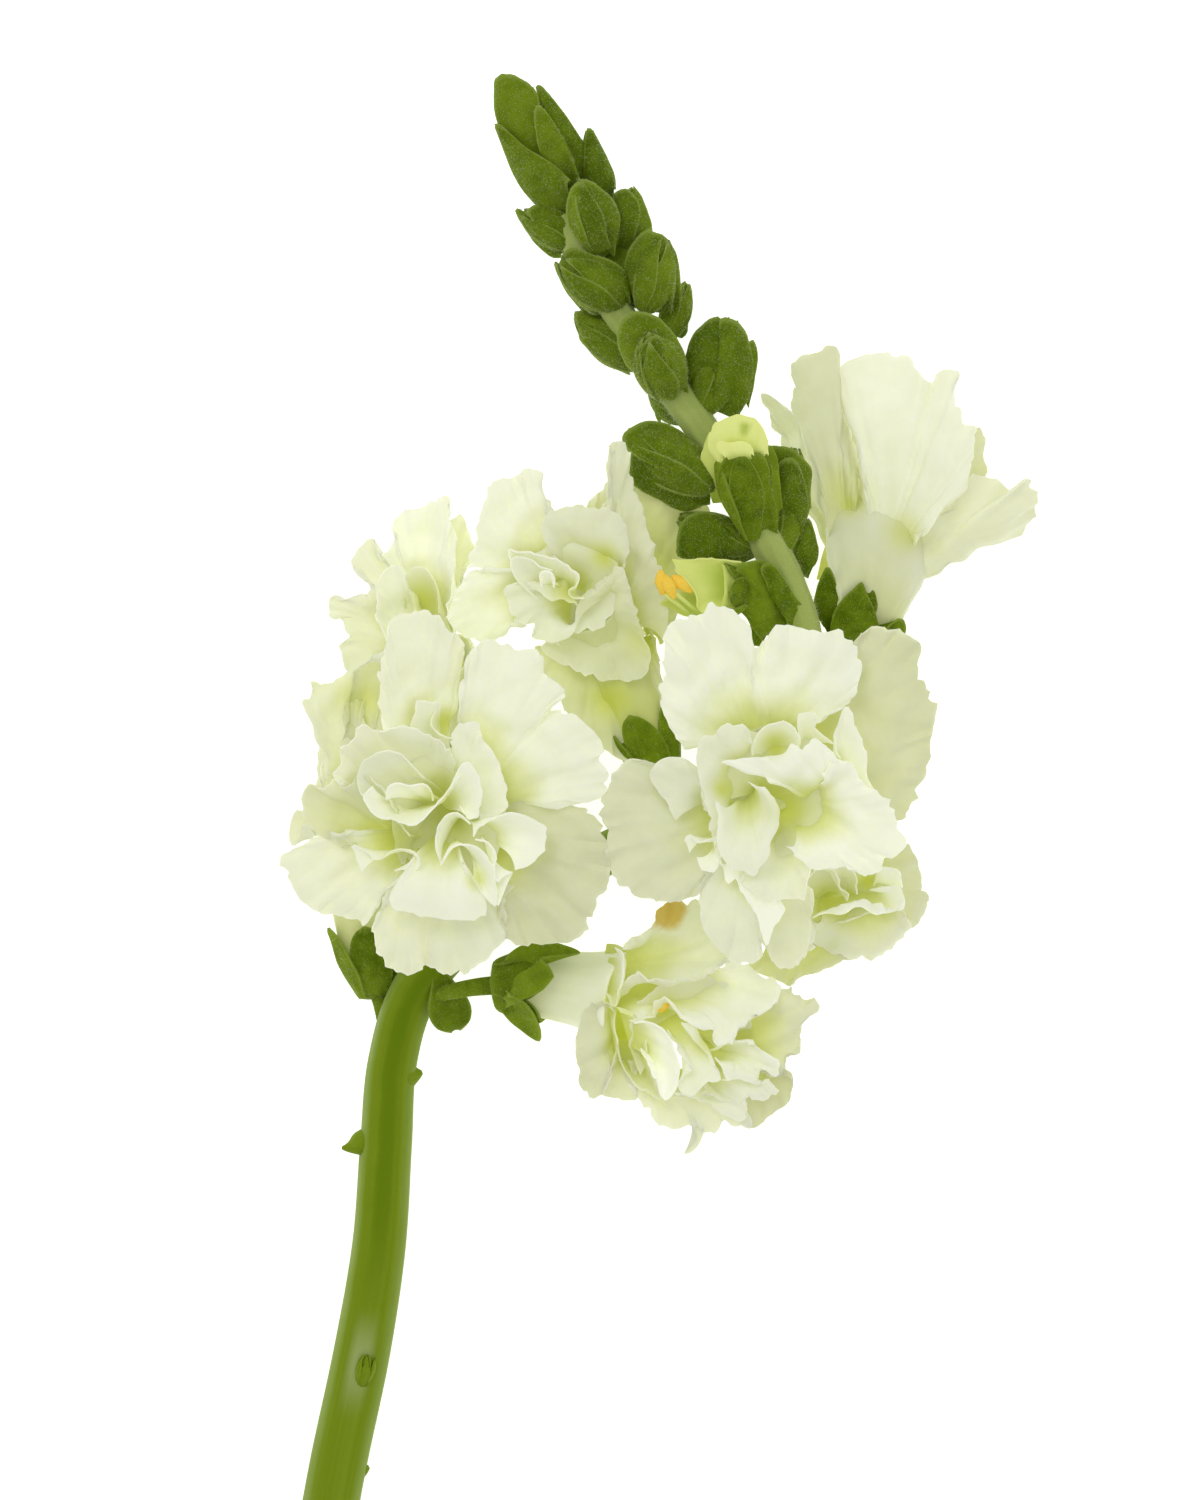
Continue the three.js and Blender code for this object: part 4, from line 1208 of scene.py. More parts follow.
# the bracts and sepals over each solid
LEAVES: dict[str, tuple[Leaf, ...]] = {
    "tip_buds": (
        Leaf((-9.8, 85.8, 25), (
            -137, 861, 246, -146, 889, 252, -132, 911, 254, -104, 917, 254, -81, 900, 252,
            -76, 872, 248,
        ), early=1, swell=1, tone_and_shade=1),
        Leaf((-10.9, 89.4, 26), (
            -120, 921, 280, -137, 957, 284, -167, 1008, 286, -174, 1025, 286, -172, 1029, 286,
            -164, 1025, 284, -136, 991, 276, -125, 975, 272, -113, 957, 270, -104, 945, 270,
            -102, 925, 266,
        ), early=1, swell=1.2, neck=2.5, tone_and_shade=0.45),
        Leaf((-15.7, 91, 27.4), (
            -203, 950, 266, -220, 966, 270, -228, 980, 275, -232, 1001, 280, -231, 1036, 288,
            -227, 1041, 290, -220, 1045, 290, -214, 1043, 290, -206, 1043, 290, -192, 1036, 290,
            -179, 1026, 290, -171, 1010, 290, -167, 973, 290, -165, 938, 290,
        ), early=1, swell=1.1, tone_and_shade=1),
        Leaf((-11.5, 87.7, 26.6), (
            -157, 918, 290, -168, 937, 298, -174, 965, 302, -176, 989, 304, -172, 1000, 305,
            -164, 996, 305, -153, 982, 305, -143, 965, 305, -133, 944, 303, -122, 919, 296,
        ), early=1, swell=1.5, neck=2.5, tone_and_shade=0.8),
        Leaf((-13.2, 84.9, 27.4), (
            -165, 857, 269, -179, 868, 269, -195, 888, 271, -207, 910, 273, -225, 956, 281,
            -231, 974, 283, -225, 974, 285, -213, 964, 291, -197, 948, 297, -182, 936, 301,
            -164, 926, 303, -146, 913, 303, -126, 894, 299,
        ), early=1, swell=2, neck=3.5, tone_and_shade=0.5),
        Leaf((-7.6, 87.2, 26), (
            -99, 888, 270, -105, 910, 274, -105, 935, 276, -104, 955, 276, -101, 970, 274,
            -92, 961, 272, -69, 915, 266, -64, 899, 264, -63, 883, 264,
        ), early=1, swell=1.6, neck=2.5, tone_and_shade=0.1),
    ),
    "bud_01": (
        Leaf((-8.1, 79.6, 29), (
            -101, 801, 300, -116, 814, 306, -126, 830, 310, -130, 848, 315, -129, 868, 322,
            -123, 883, 330, -113, 892, 335, -108, 888, 335, -92, 855, 328, -84, 836, 322,
            -74, 814, 310,
        ), early=1.1, swell=1.6, tone_and_shade=0.8),
        Leaf((-7.3, 79.8, 28.6), (
            -84, 822, 310, -95, 847, 320, -112, 891, 333, -98, 893, 330, -84, 883, 325,
            -71, 872, 318, -62, 858, 310, -57, 842, 305, -60, 822, 300, -67, 807, 296,
        ), early=1.1, swell=1.4, tone_and_shade=0.5),
    ),
    "bud_02": (
        Leaf((-11.9, 81.1, 26.4), (
            -146, 811, 270, -161, 823, 276, -175, 837, 280, -185, 850, 280, -181, 858, 280,
            -168, 861, 280, -137, 850, 280, -127, 837, 278, -120, 823, 272,
        ), early=1.1, swell=1.5, tone_and_shade=0.5),
        Leaf((-12.2, 80.9, 25.6), (
            -136, 789, 252, -150, 789, 250, -163, 798, 250, -175, 810, 250, -188, 828, 252,
            -203, 855, 260, -195, 855, 262, -185, 847, 270, -174, 837, 276, -157, 827, 280,
            -140, 821, 276,
        ), early=1, swell=1.4, tone_and_shade=0.7),
    ),
    "bud_03": (
        Leaf((-3.9, 80.7, 26), (
            -34, 832, 270, -32, 857, 274, -36, 875, 276, -38, 888, 276, -31, 881, 274,
            -24, 868, 270, -14, 841, 262, -11, 825, 260,
        ), early=1, swell=1, neck=2, tone_and_shade=0.95),
        Leaf((-5.2, 80.3, 26.6), (
            -60, 821, 274, -59, 847, 280, -63, 868, 284, -64, 878, 284, -50, 883, 286,
            -41, 879, 286, -32, 868, 284, -29, 851, 280, -32, 832, 276, -41, 812, 270,
        ), early=1.1, swell=1.4, neck=2.5, tone_and_shade=0.15),
    ),
    "bud_04": (
        Leaf((-6.4, 71.2, 27), (
            -92, 707, 274, -112, 722, 280, -126, 745, 288, -137, 770, 294, -137, 789, 298,
            -126, 800, 300, -109, 796, 302, -92, 789, 302, -76, 785, 300, -59, 776, 296,
            -46, 761, 290, -41, 742, 284, -45, 722, 278,
        ), early=1.1, swell=2.6, neck=5, tone_and_shade=0.4),
        Leaf((-7.8, 70.9, 26.4), (
            -95, 706, 260, -109, 715, 260, -122, 730, 260, -133, 745, 262, -148, 779, 274,
            -139, 777, 280, -129, 768, 288, -118, 757, 294, -105, 744, 296, -91, 730, 290,
        ), early=1, swell=1.3, tone_and_shade=0.7),
    ),
    "bud_05": (
        Leaf((-2.2, 71.7, 26.8), (
            -78, 741, 236, -87, 780, 246, -76, 813, 256, -53, 818, 260, -28, 807, 256,
            -11, 782, 252, -11, 740, 244,
        ), early=1, swell=1, tone_and_shade=1),
        Leaf((2, 72.6, 26.6), (
            13, 756, 286, 11, 784, 294, 1, 817, 304, 10, 813, 302, 18, 800, 296, 24, 784, 290,
            29, 742, 276,
        ), early=1, swell=1, neck=2.5, tone_and_shade=0.95),
        Leaf((-0.6, 71.2, 27), (
            -28, 724, 276, -42, 742, 282, -49, 767, 288, -46, 789, 294, -36, 809, 298,
            -21, 824, 302, -7, 822, 304, 3, 818, 306, 11, 807, 302, 17, 792, 298, 20, 770, 292,
            20, 742, 286, 13, 721, 278,
        ), early=1.1, swell=2.6, neck=4.5, tone_and_shade=0.4),
    ),
    "bud_06": (
        Leaf((1.3, 72.1, 24.6), (
            10, 698, 240, 21, 682, 238, 30, 676, 236, 37, 684, 236, 39, 700, 238, 35, 735, 246,
            30, 751, 252, 21, 746, 258,
        ), early=1.1, swell=1.5, neck=2.5, tone_and_shade=0.85),
    ),
    "bud_07": (
        Leaf((-3.1, 66.2, 25), (
            -42, 625, 244, -64, 634, 244, -84, 646, 246, -99, 660, 248, -112, 674, 252,
            -113, 689, 258, -120, 705, 264, -115, 713, 268, -84, 702, 272, -64, 706, 274,
            -48, 700, 274,
        ), early=1.1, swell=2.2, neck=5, tone_and_shade=0.6),
        Leaf((-5.3, 64.2, 26), (
            -81, 647, 268, -98, 661, 270, -111, 675, 272, -95, 676, 278, -78, 671, 280,
            -64, 664, 280,
        ), early=1, swell=0.8, neck=2, tone_and_shade=0.7),
    ),
    "bud_08": (
        Leaf((2, 59.1, 28), (
            -6, 600, 286, -28, 620, 296, -45, 635, 306, -56, 657, 318, -59, 679, 328, -53, 698, 338,
            -39, 709, 344, -21, 709, 348, -4, 702, 348, 9, 690, 344, 22, 673, 336, 32, 654, 324,
            36, 635, 310, 36, 616, 296, 29, 598, 286,
        ), early=1.1, swell=2.2, neck=4.5, tone_and_shade=0.8),
        Leaf((1.4, 58.8, 28.8), (
            -6, 603, 310, -21, 622, 326, -32, 641, 340, -34, 657, 350, -27, 663, 356, -17, 671, 360,
            -6, 677, 362, 4, 666, 360, 12, 646, 350, 21, 627, 334, 26, 605, 310,
        ), early=1.1, swell=2, neck=2.5, tone_and_shade=0.15),
    ),
    "bud_09": (
        Leaf((12.1, 58.6, 26), (
            123, 616, 276, 122, 644, 284, 123, 666, 290, 130, 672, 290, 134, 663, 286,
            136, 647, 280, 129, 602, 268,
        ), early=1, swell=0.8, neck=2, tone_and_shade=0.75),
        Leaf((5.9, 59.9, 27), (
            42, 615, 280, 36, 635, 286, 39, 658, 292, 47, 679, 296, 59, 692, 300, 71, 701, 302,
            84, 703, 304, 88, 682, 306, 85, 657, 304, 80, 635, 300, 71, 612, 290,
        ), early=1.1, swell=2, neck=4, tone_and_shade=0.05),
        Leaf((9, 56.9, 26.2), (
            76, 585, 280, 75, 610, 296, 80, 638, 306, 84, 668, 310, 84, 699, 310, 96, 702, 308,
            109, 695, 302, 119, 683, 296, 124, 667, 292, 129, 649, 286, 130, 627, 280,
            127, 605, 272, 121, 586, 266, 109, 572, 264,
        ), early=1.1, swell=2.3, neck=4.5, tone_and_shade=0.45),
    ),
    "bud_10": (
        Leaf((2, 56.1, 22), (
            0, 556, 220, -7, 573, 220, -7, 587, 224, -4, 598, 228, 3, 599, 234, 13, 586, 236,
            20, 575, 234,
        ), early=1, swell=1, neck=2, tone_and_shade=0.9),
    ),
    "bud_11": (
        Leaf((7, 45.8, 27.6), (
            57, 440, 274, 38, 433, 274, 20, 437, 276, 3, 447, 278, -31, 465, 288, -43, 479, 294,
            -43, 497, 304, -41, 512, 310, -21, 509, 320, 7, 498, 324, 35, 486, 316, 59, 476, 302,
        ), early=1.1, swell=2.2, neck=4, tone_and_shade=0.12),
        Leaf((6.2, 47, 28.4), (
            22, 484, 322, -11, 497, 328, -32, 507, 322, -50, 524, 308, -52, 538, 306, -41, 548, 304,
            -22, 557, 302, -3, 557, 302, 17, 550, 300, 33, 540, 298, 47, 526, 296, 56, 509, 292,
            62, 490, 288,
        ), early=1.1, swell=2.2, neck=4, tone_and_shade=0.45),
    ),
    "bud_12": (
        Leaf((19.2, 41.8, 23.4), (
            165, 460, 256, 158, 493, 266, 151, 520, 272, 165, 524, 276, 179, 522, 276,
            192, 515, 272, 203, 503, 266, 212, 490, 256, 210, 463, 246, 211, 437, 240,
        ), early=1, swell=1.6, tone_and_shade=0.85),
        Leaf((18.3, 37.9, 24.2), (
            170, 406, 256, 163, 434, 266, 161, 465, 276, 162, 493, 282, 172, 504, 286,
            182, 507, 286, 192, 500, 282, 199, 483, 276, 205, 459, 270, 206, 434, 262,
            201, 413, 256, 192, 391, 250,
        ), early=1.1, swell=2, tone_and_shade=0.12),
        Leaf((19.8, 34.5, 23.4), (
            184, 364, 246, 185, 383, 254, 207, 423, 260, 219, 392, 252, 222, 376, 248,
            218, 360, 242, 209, 351, 238,
        ), early=1, swell=1.2, neck=2.5, tone_and_shade=0.25),
    ),
    "bud_13": (
        Leaf((11.8, 36.2, 25), (
            81, 366, 266, 29, 368, 270, 24, 382, 272, 25, 400, 276, 31, 417, 280, 42, 427, 284,
            59, 431, 286, 76, 428, 284, 88, 419, 280, 99, 400, 274, 112, 380, 264,
        ), early=1.1, swell=2.4, neck=4, tone_and_shade=0.15),
    ),
    "calyx_opening_bud": (
        Leaf((16.7, 41.7, 27), (
            154, 448, 304, 148, 475, 318, 144, 503, 324, 148, 521, 324, 156, 523, 320,
            163, 506, 314, 166, 478, 304, 169, 448, 290,
        ), early=1, swell=0.8, neck=2, tone_and_shade=1),
        Leaf((15.1, 39.8, 28), (
            133, 404, 296, 119, 425, 310, 114, 438, 320, 121, 458, 334, 125, 480, 342,
            124, 503, 346, 132, 512, 346, 143, 510, 344, 151, 492, 338, 153, 467, 328,
            159, 443, 316, 164, 422, 302, 161, 406, 290,
        ), early=1.1, swell=1.5, tone_and_shade=0.4),
        Leaf((10.6, 43.8, 29.6), (
            89, 452, 314, 82, 472, 328, 83, 492, 340, 92, 507, 348, 103, 512, 352, 114, 508, 352,
            122, 498, 348, 125, 478, 340, 123, 456, 324,
        ), early=1.1, swell=1.3, tone_and_shade=0.35),
    ),
    "calyx_torn_young": (
        Leaf((18.8, 27.7, 25.6), (
            143, 252, 264, 129, 270, 280, 119, 287, 290, 105, 302, 300, 109, 322, 310,
            103, 340, 312, 109, 355, 312, 126, 362, 310, 147, 362, 304, 165, 348, 294,
            179, 322, 280, 188, 300, 266,
        ), early=1.1, swell=1.6, neck=5, tone_and_shade=0.7),
        Leaf((18.9, 27.5, 26), (
            173, 288, 290, 158, 312, 308, 147, 334, 318, 140, 352, 320, 151, 361, 318,
            163, 350, 310, 176, 329, 298, 186, 305, 280,
        ), early=1, swell=1.4, neck=2.5, tone_and_shade=0.12),
        Leaf((16.5, 28.9, 26.4), (
            146, 241, 258, 115, 252, 258, 127, 272, 276, 140, 291, 290,
        ), early=1, swell=0.8, tone_and_shade=0.45),
    ),
    "calyx_low_right": (
        Leaf((-22.9, -23.6, 22.4), (
            -230, -254, 234, -220, -271, 240, -203, -288, 244, -171, -310, 252, -167, -299, 262,
            -172, -283, 274, -179, -269, 284, -188, -257, 290, -200, -250, 292, -214, -246, 284,
        ), early=1.1, swell=1.2, neck=4, tone_and_shade=0.85),
        Leaf((-22.7, -23, 22.6), (
            -216, -263, 270, -197, -253, 290, -181, -247, 298, -164, -238, 302, -153, -225, 304,
            -148, -217, 304, -157, -203, 302, -167, -193, 298, -150, -190, 290, -112, -186, 278,
            -137, -175, 266, -161, -170, 260, -185, -174, 254, -207, -185, 248, -221, -204, 242,
        ), early=1.1, swell=1.8, neck=4, tone_and_shade=1),
    ),
    "calyx_top_right": (
        Leaf((27.2, 26.7, 18.4), (
            315, 261, 218, 325, 275, 224, 340, 282, 224, 346, 269, 214, 343, 250, 206,
        ), early=1, swell=0.6, tone_and_shade=0.35),
        Leaf((25.3, 26.1, 19.4), (
            232, 271, 206, 217, 297, 218, 219, 320, 224, 226, 341, 228, 235, 356, 228,
            243, 344, 232, 250, 325, 232, 257, 306, 228, 264, 281, 216,
        ), early=1.1, swell=1, tone_and_shade=0.1),
        Leaf((27.6, 23.9, 20), (
            240, 255, 216, 242, 283, 230, 253, 306, 240, 267, 320, 244, 283, 334, 244,
            290, 318, 244, 298, 300, 240, 305, 280, 232, 309, 255, 220,
        ), early=1.1, swell=1.2, neck=4.5, tone_and_shade=0.15),
    ),
}

# the petals of each flower, from the back ones to the front ones
PETALS: dict[str, tuple[Petal, ...]] = {
    "front_left": (
        Petal((-29.1, 2, 34), (
            -357, -72, 390, -368, -41, 395, -373, 15, 405, -362, 56, 410, -332, 91, 415,
            -293, 101, 415, -251, 87, 410, -220, 49, 405, -215, 8, 400, -223, -41, 400,
            -251, -83, 400, -293, -97, 400, -335, -89, 396, -351, -77, 392,
        ), early=1.4, swell=2.2, crimp=0.2, neck=4, tone_and_shade=0.45, green=0.3),
        Petal((-29.1, 2, 31), (
            -307, -83, 385, -328, -72, 388, -349, -55, 390, -362, -34, 390, -371, -11, 390,
            -371, 12, 390,
        ), early=1.2, swell=0.5, neck=6, tone_and_shade=0.4, green=0.4),
        Petal((-32.4, 7, 37), (
            -379, 119, 390, -389, 161, 410, -390, 206, 420, -380, 251, 424, -375, 279, 420,
            -347, 289, 412, -312, 288, 416, -298, 268, 426, -275, 248, 414, -280, 212, 404,
            -286, 161, 395,
        ), early=2.2, swell=0.6, tone_and_shade=0.6),
        Petal((-25.7, 4.8, 37), (
            -275, 119, 400, -277, 174, 426, -269, 226, 436, -240, 252, 422, -206, 240, 420,
            -166, 233, 430, -159, 202, 420, -131, 179, 428, -151, 155, 408, -117, 145, 424,
            -81, 109, 414, -84, 87, 420, -74, 63, 410, -84, 33, 402, -145, 17, 390,
        ), early=2.2, swell=0.8, tone_and_shade=0.75),
        Petal((-24.3, -2.5, 37), (
            -229, 42, 380, -161, 28, 384, -98, 12, 394, -74, -36, 406, -71, -83, 398,
            -87, -111, 408, -99, -139, 398, -116, -166, 404, -161, -172, 394, -195, -173, 404,
            -216, -164, 406, -222, -127, 426, -217, -105, 430, -201, -91, 426,
        ), early=2.2, swell=0.4, tone_and_shade=0.12),
        Petal((-30.7, -4.1, 37), (
            -382, -104, 400, -398, -141, 408, -397, -171, 396, -389, -191, 402, -369, -210, 388,
            -346, -214, 396, -329, -201, 384, -307, -211, 396, -282, -214, 388, -251, -201, 398,
            -230, -180, 398, -215, -161, 410, -216, -125, 406, -223, -91, 402,
        ), early=1.9, swell=1, tone_and_shade=0.5),
        Petal((-30.1, -2.5, 38), (
            -345, -58, 436, -362, -80, 440, -377, -115, 434, -355, -126, 438, -327, -133, 442,
            -299, -137, 436, -271, -138, 442, -249, -135, 436, -242, -115, 436, -256, -85, 440,
            -276, -60, 440,
        ), early=1.6, swell=2, crimp=0.15, tone_and_shade=0.8),
        Petal((-33.8, -2.5, 37), (
            -439, -19, 410, -476, -19, 410, -497, -34, 414, -528, -51, 408, -515, -83, 410,
            -503, -108, 400, -474, -129, 404, -439, -134, 396, -410, -143, 396, -396, -122, 400,
            -379, -97, 408, -348, -74, 416,
        ), early=2, swell=0.6, tone_and_shade=0.6),
        Petal((-34.6, -4.1, 39.5), (
            -415, -72, 432, -428, -35, 438, -409, -44, 442, -392, -55, 436, -371, -42, 442,
            -346, -41, 448, -335, -57, 446, -338, -67, 436, -369, -69, 430,
        ), early=1.2, swell=0.2, crimp=0.1, tone_and_shade=0.8),
        Petal((-34.9, -3, 35), (
            -429, -35, 418, -476, -19, 418, -497, 8, 424, -497, 33, 434, -491, 49, 446,
            -470, 45, 444, -453, 55, 452, -437, 48, 450, -409, 65, 460, -378, 29, 456,
            -362, -2, 450, -346, -21, 446,
        ), early=1.5, swell=-1.4, tone_and_shade=0.35, green=0.3),
        Petal((-32.9, 2, 36), (
            -438, 42, 444, -454, 62, 458, -443, 79, 458, -443, 101, 470, -428, 109, 466,
            -414, 134, 478, -392, 123, 464, -361, 131, 472, -332, 126, 468, -314, 112, 464,
            -295, 104, 460, -284, 77, 450,
        ), early=1.3, swell=-1.6, tone_and_shade=0.6),
        Petal((-31.8, 2.8, 37), (
            -414, 34, 456, -421, 56, 464, -414, 79, 470, -397, 92, 476, -378, 97, 478,
            -359, 91, 472, -345, 76, 460, -327, 59, 440,
        ), early=1.1, swell=-0.8, crimp=0.12, tone_and_shade=0.6),
        Petal((-32.1, 2.3, 37), (
            -400, 48, 466, -411, 36, 472, -404, 16, 476, -389, 4, 476, -372, 2, 476, -357, -3, 476,
            -340, -7, 478, -320, 12, 480, -296, 40, 480, -277, 65, 476,
        ), early=1.1, swell=-0.4, crimp=0.12, tone_and_shade=0.9),
        Petal((-31.5, 2.6, 38.5), (
            -381, 29, 460, -379, 45, 470, -367, 52, 474, -347, 49, 472, -328, 51, 472,
            -318, 40, 468, -316, 27, 460,
        ), early=1, swell=-0.2, crimp=0.06, tone_and_shade=0.9),
        Petal((-29.9, 2, 38), (
            -296, 34, 466, -285, 56, 478, -277, 76, 484, -266, 81, 486, -257, 70, 484,
            -250, 54, 476, -248, 29, 466, -255, 6, 456, -267, 1, 450, -278, 20, 446,
        ), early=1.2, swell=0.5, crimp=0.1, tone_and_shade=0.9),
        Petal((-27.3, 2.6, 37.5), (
            -292, 109, 446, -288, 123, 454, -277, 135, 460, -264, 138, 462, -252, 134, 460,
            -249, 115, 456, -234, 98, 450, -223, 76, 446, -215, 48, 442, -213, 20, 438,
            -228, 6, 434, -251, 1, 430,
        ), early=1.3, swell=0.8, tone_and_shade=0.75),
        Petal((-29.6, 7.3, 37), (
            -348, 131, 430, -341, 151, 440, -337, 166, 444, -320, 165, 444, -305, 165, 442,
            -317, 145, 438, -316, 129, 440, -301, 116, 444, -290, 115, 440,
        ), early=1.2, swell=-0.3, crimp=0.1, tone_and_shade=0.6),
        Petal((-28.2, -0.5, 32.5), (
            -306, -58, 442, -312, -35, 450, -310, -13, 456, -300, 4, 460, -285, 11, 460,
            -273, 5, 456, -264, -5, 452,
        ), early=1.2, swell=0.7, crimp=0.08, tone_and_shade=0.8),
        Petal((-25.4, -1.1, 38), (
            -260, -24, 454, -253, -10, 460, -234, 1, 464, -209, 11, 460, -181, 4, 452,
            -160, -10, 442, -159, -30, 436, -167, -49, 438, -184, -63, 440, -202, -69, 438,
        ), early=1.3, swell=0.9, crimp=0.1, tone_and_shade=0.9),
        Petal((-24.3, -3.6, 38.5), (
            -257, -25, 460, -239, -31, 462, -228, -48, 460, -231, -66, 456, -227, -85, 452,
            -206, -71, 442, -216, -96, 440, -226, -119, 444, -230, -96, 440,
        ), early=1.2, swell=0.2, crimp=0.1, tone_and_shade=0.9),
        Petal((-27.6, -3, 38.5), (
            -305, -63, 446, -294, -42, 456, -274, -32, 462, -253, -38, 460, -237, -55, 456,
            -230, -82, 450, -227, -119, 444, -245, -105, 446, -262, -80, 448,
        ), early=1.2, swell=0.8, crimp=0.1, tone_and_shade=0.85),
    ),
    "front_right": (
        Petal((15, 2.8, 34), (
            66, 12, 400, 63, 56, 405, 83, 98, 410, 118, 119, 415, 159, 129, 415, 202, 119, 415,
            239, 95, 410, 258, 56, 405, 253, 12, 400, 225, -30, 400, 180, -52, 400, 125, -63, 400,
            86, -41, 400,
        ), early=1.4, swell=2.4, crimp=0.2, neck=4, tone_and_shade=0.45, green=0.3),
        Petal((14.2, 10.9, 38), (
            41, 101, 415, 23, 115, 424, 5, 148, 430, -1, 176, 438, 6, 205, 432, 5, 237, 444,
            9, 269, 436, 30, 281, 446, 55, 286, 434, 67, 299, 442, 91, 297, 430, 110, 283, 436,
            126, 266, 438, 113, 251, 426, 127, 243, 414, 141, 243, 416, 155, 263, 428,
            167, 273, 434, 194, 268, 426, 222, 262, 438, 247, 263, 428, 266, 248, 430,
            279, 220, 420, 275, 191, 422, 258, 159, 414, 215, 137, 410,
        ), early=2.1, swell=0.9, tone_and_shade=0.8),
        Petal((19.5, 7.8, 37), (
            247, 223, 390, 272, 251, 394, 283, 264, 400, 309, 269, 394, 340, 261, 400,
            363, 243, 396, 357, 215, 398, 368, 187, 392, 384, 156, 396, 377, 115, 388, 374, 81, 390,
            360, 46, 382, 348, 17, 384, 334, 0, 380, 292, -2, 380,
        ), early=2.2, swell=0.4, tone_and_shade=0.12),
        Petal((10.8, 2, 37), (
            16, 81, 404, -8, 79, 410, -28, 85, 414, -48, 83, 408, -65, 65, 412, -76, 40, 404,
            -84, 12, 410, -73, -16, 404, -77, -43, 406, -73, -66, 398, -53, -91, 402,
            -27, -107, 394, 2, -112, 400, 36, -109, 396, 55, -100, 402, 61, -66, 402,
        ), early=2.2, swell=0.6, tone_and_shade=0.25),
        Petal((9.1, 2.8, 38.5), (
            22, 1, 418, 5, 31, 424, -13, 55, 432, -10, 76, 438, 10, 88, 444, 34, 86, 444,
            51, 70, 446, 55, 42, 446, 63, 12, 440,
        ), swell=0.6, tone_and_shade=0.5),
        Petal((10.8, 5.9, 38.5), (
            85, -63, 442, 73, -30, 448, 66, 12, 452, 58, 42, 456, 51, 73, 462, 51, 98, 464,
            59, 116, 466, 73, 119, 468, 85, 131, 470, 107, 134, 466, 123, 126, 460, 127, 105, 450,
        ), early=1.4, swell=0.6, tone_and_shade=0.6),
        Petal((12.2, 4.2, 35), (
            77, 29, 460, 80, -7, 464, 78, -30, 464, 87, -52, 460, 99, -66, 458, 116, -70, 454,
            126, -77, 450, 138, -66, 454, 149, -49, 456, 153, -27, 458, 164, -5, 460, 160, 26, 460,
            144, 44, 460, 121, 54, 460,
        ), early=1.5, swell=1.8, crimp=0.1, tone_and_shade=0.7),
        Petal((7.7, -2.4, 39.5), (
            41, -44, 430, 33, -27, 436, 42, -20, 440, 51, -31, 444, 67, -26, 448, 83, -24, 450,
            85, -49, 446, 74, -71, 440, 58, -69, 436, 51, -51, 432,
        ), early=1.3, swell=0.5, crimp=0.1, tone_and_shade=0.8),
        Petal((23.1, 4.2, 40), (
            152, 51, 446, 141, 67, 454, 113, 76, 460, 85, 81, 466, 113, 86, 470, 143, 88, 472,
            167, 92, 474, 178, 102, 478, 188, 105, 476, 197, 101, 478, 213, 112, 480, 227, 106, 476,
            247, 84, 468,
        ), early=1.3, swell=0.9, tone_and_shade=0.95),
        Petal((16.7, 8.1, 38.5), (
            127, 90, 436, 128, 106, 446, 137, 123, 452, 152, 134, 458, 173, 137, 460, 188, 126, 458,
            194, 106, 454, 188, 95, 446,
        ), early=1.2, swell=-0.3, crimp=0.05, tone_and_shade=0.7),
        Petal((20.6, 10.1, 39), (
            194, 112, 438, 190, 131, 446, 192, 147, 452, 210, 151, 454, 217, 144, 454,
            213, 130, 450, 241, 106, 444,
        ), early=1.3, swell=0.3, crimp=0.05, tone_and_shade=0.75),
        Petal((24.2, 6.2, 39.5), (
            249, 87, 450, 241, 109, 454, 246, 133, 458, 256, 159, 460, 266, 148, 462, 271, 129, 458,
            282, 106, 454, 287, 84, 448, 287, 59, 440, 305, 34, 434,
        ), early=1.2, swell=0.5, crimp=0.15, tone_and_shade=0.8),
        Petal((20.3, 2, 38.5), (
            224, 65, 456, 246, 83, 466, 266, 79, 462, 282, 51, 454, 305, 36, 454, 323, 17, 446,
            328, -5, 450, 341, -30, 442, 327, -48, 448, 310, -51, 440, 306, -66, 446, 285, -76, 438,
            263, -66, 448, 244, -64, 442, 217, -69, 450, 194, -55, 454, 174, -35, 456,
        ), early=1.7, swell=1.4, tone_and_shade=0.85),
        Petal((16.9, -1.1, 38.5), (
            210, -63, 440, 202, -85, 444, 199, -109, 436, 180, -108, 440, 161, -110, 432,
            138, -106, 438, 122, -96, 436, 113, -83, 442, 122, -71, 444, 141, -60, 440,
        ), early=1.4, swell=-0.4, tone_and_shade=0.6),
        Petal((12.8, -3.6, 40), (
            86, -60, 426, 93, -88, 426, 105, -81, 430, 113, -101, 426, 127, -119, 420,
            138, -144, 414, 148, -175, 408, 158, -147, 416, 172, -130, 420, 169, -115, 426,
            149, -108, 428,
        ), early=1.6, swell=0.6, crimp=0.1, tone_and_shade=1),
        Petal((11.9, -2.2, 37), (
            61, -63, 394, 55, -97, 394, 58, -144, 388, 72, -168, 386, 90, -188, 384, 107, -200, 378,
            122, -197, 384, 135, -196, 382, 143, -178, 388, 125, -111, 398,
        ), early=2, swell=0.8, tone_and_shade=0.55),
        Petal((14.5, -2.5, 36.5), (
            128, -111, 384, 142, -167, 378, 153, -190, 374, 168, -207, 370, 189, -199, 372,
            203, -181, 372, 211, -139, 374, 214, -97, 378,
        ), early=2, swell=0.6, tone_and_shade=0.45, green=0.12),
    ),
    "right_low": (
        Petal((24.3, -9.9, 17), (
            197, -148, 225, 191, -113, 230, 199, -82, 235, 227, -65, 240, 261, -65, 240,
            295, -73, 240, 314, -96, 235, 309, -120, 230, 281, -134, 230, 239, -148, 225,
        ), early=1.4, swell=1.6, crimp=0.2, neck=4, tone_and_shade=0.52, green=0.24),
        Petal((27.1, -12, 15.5), (
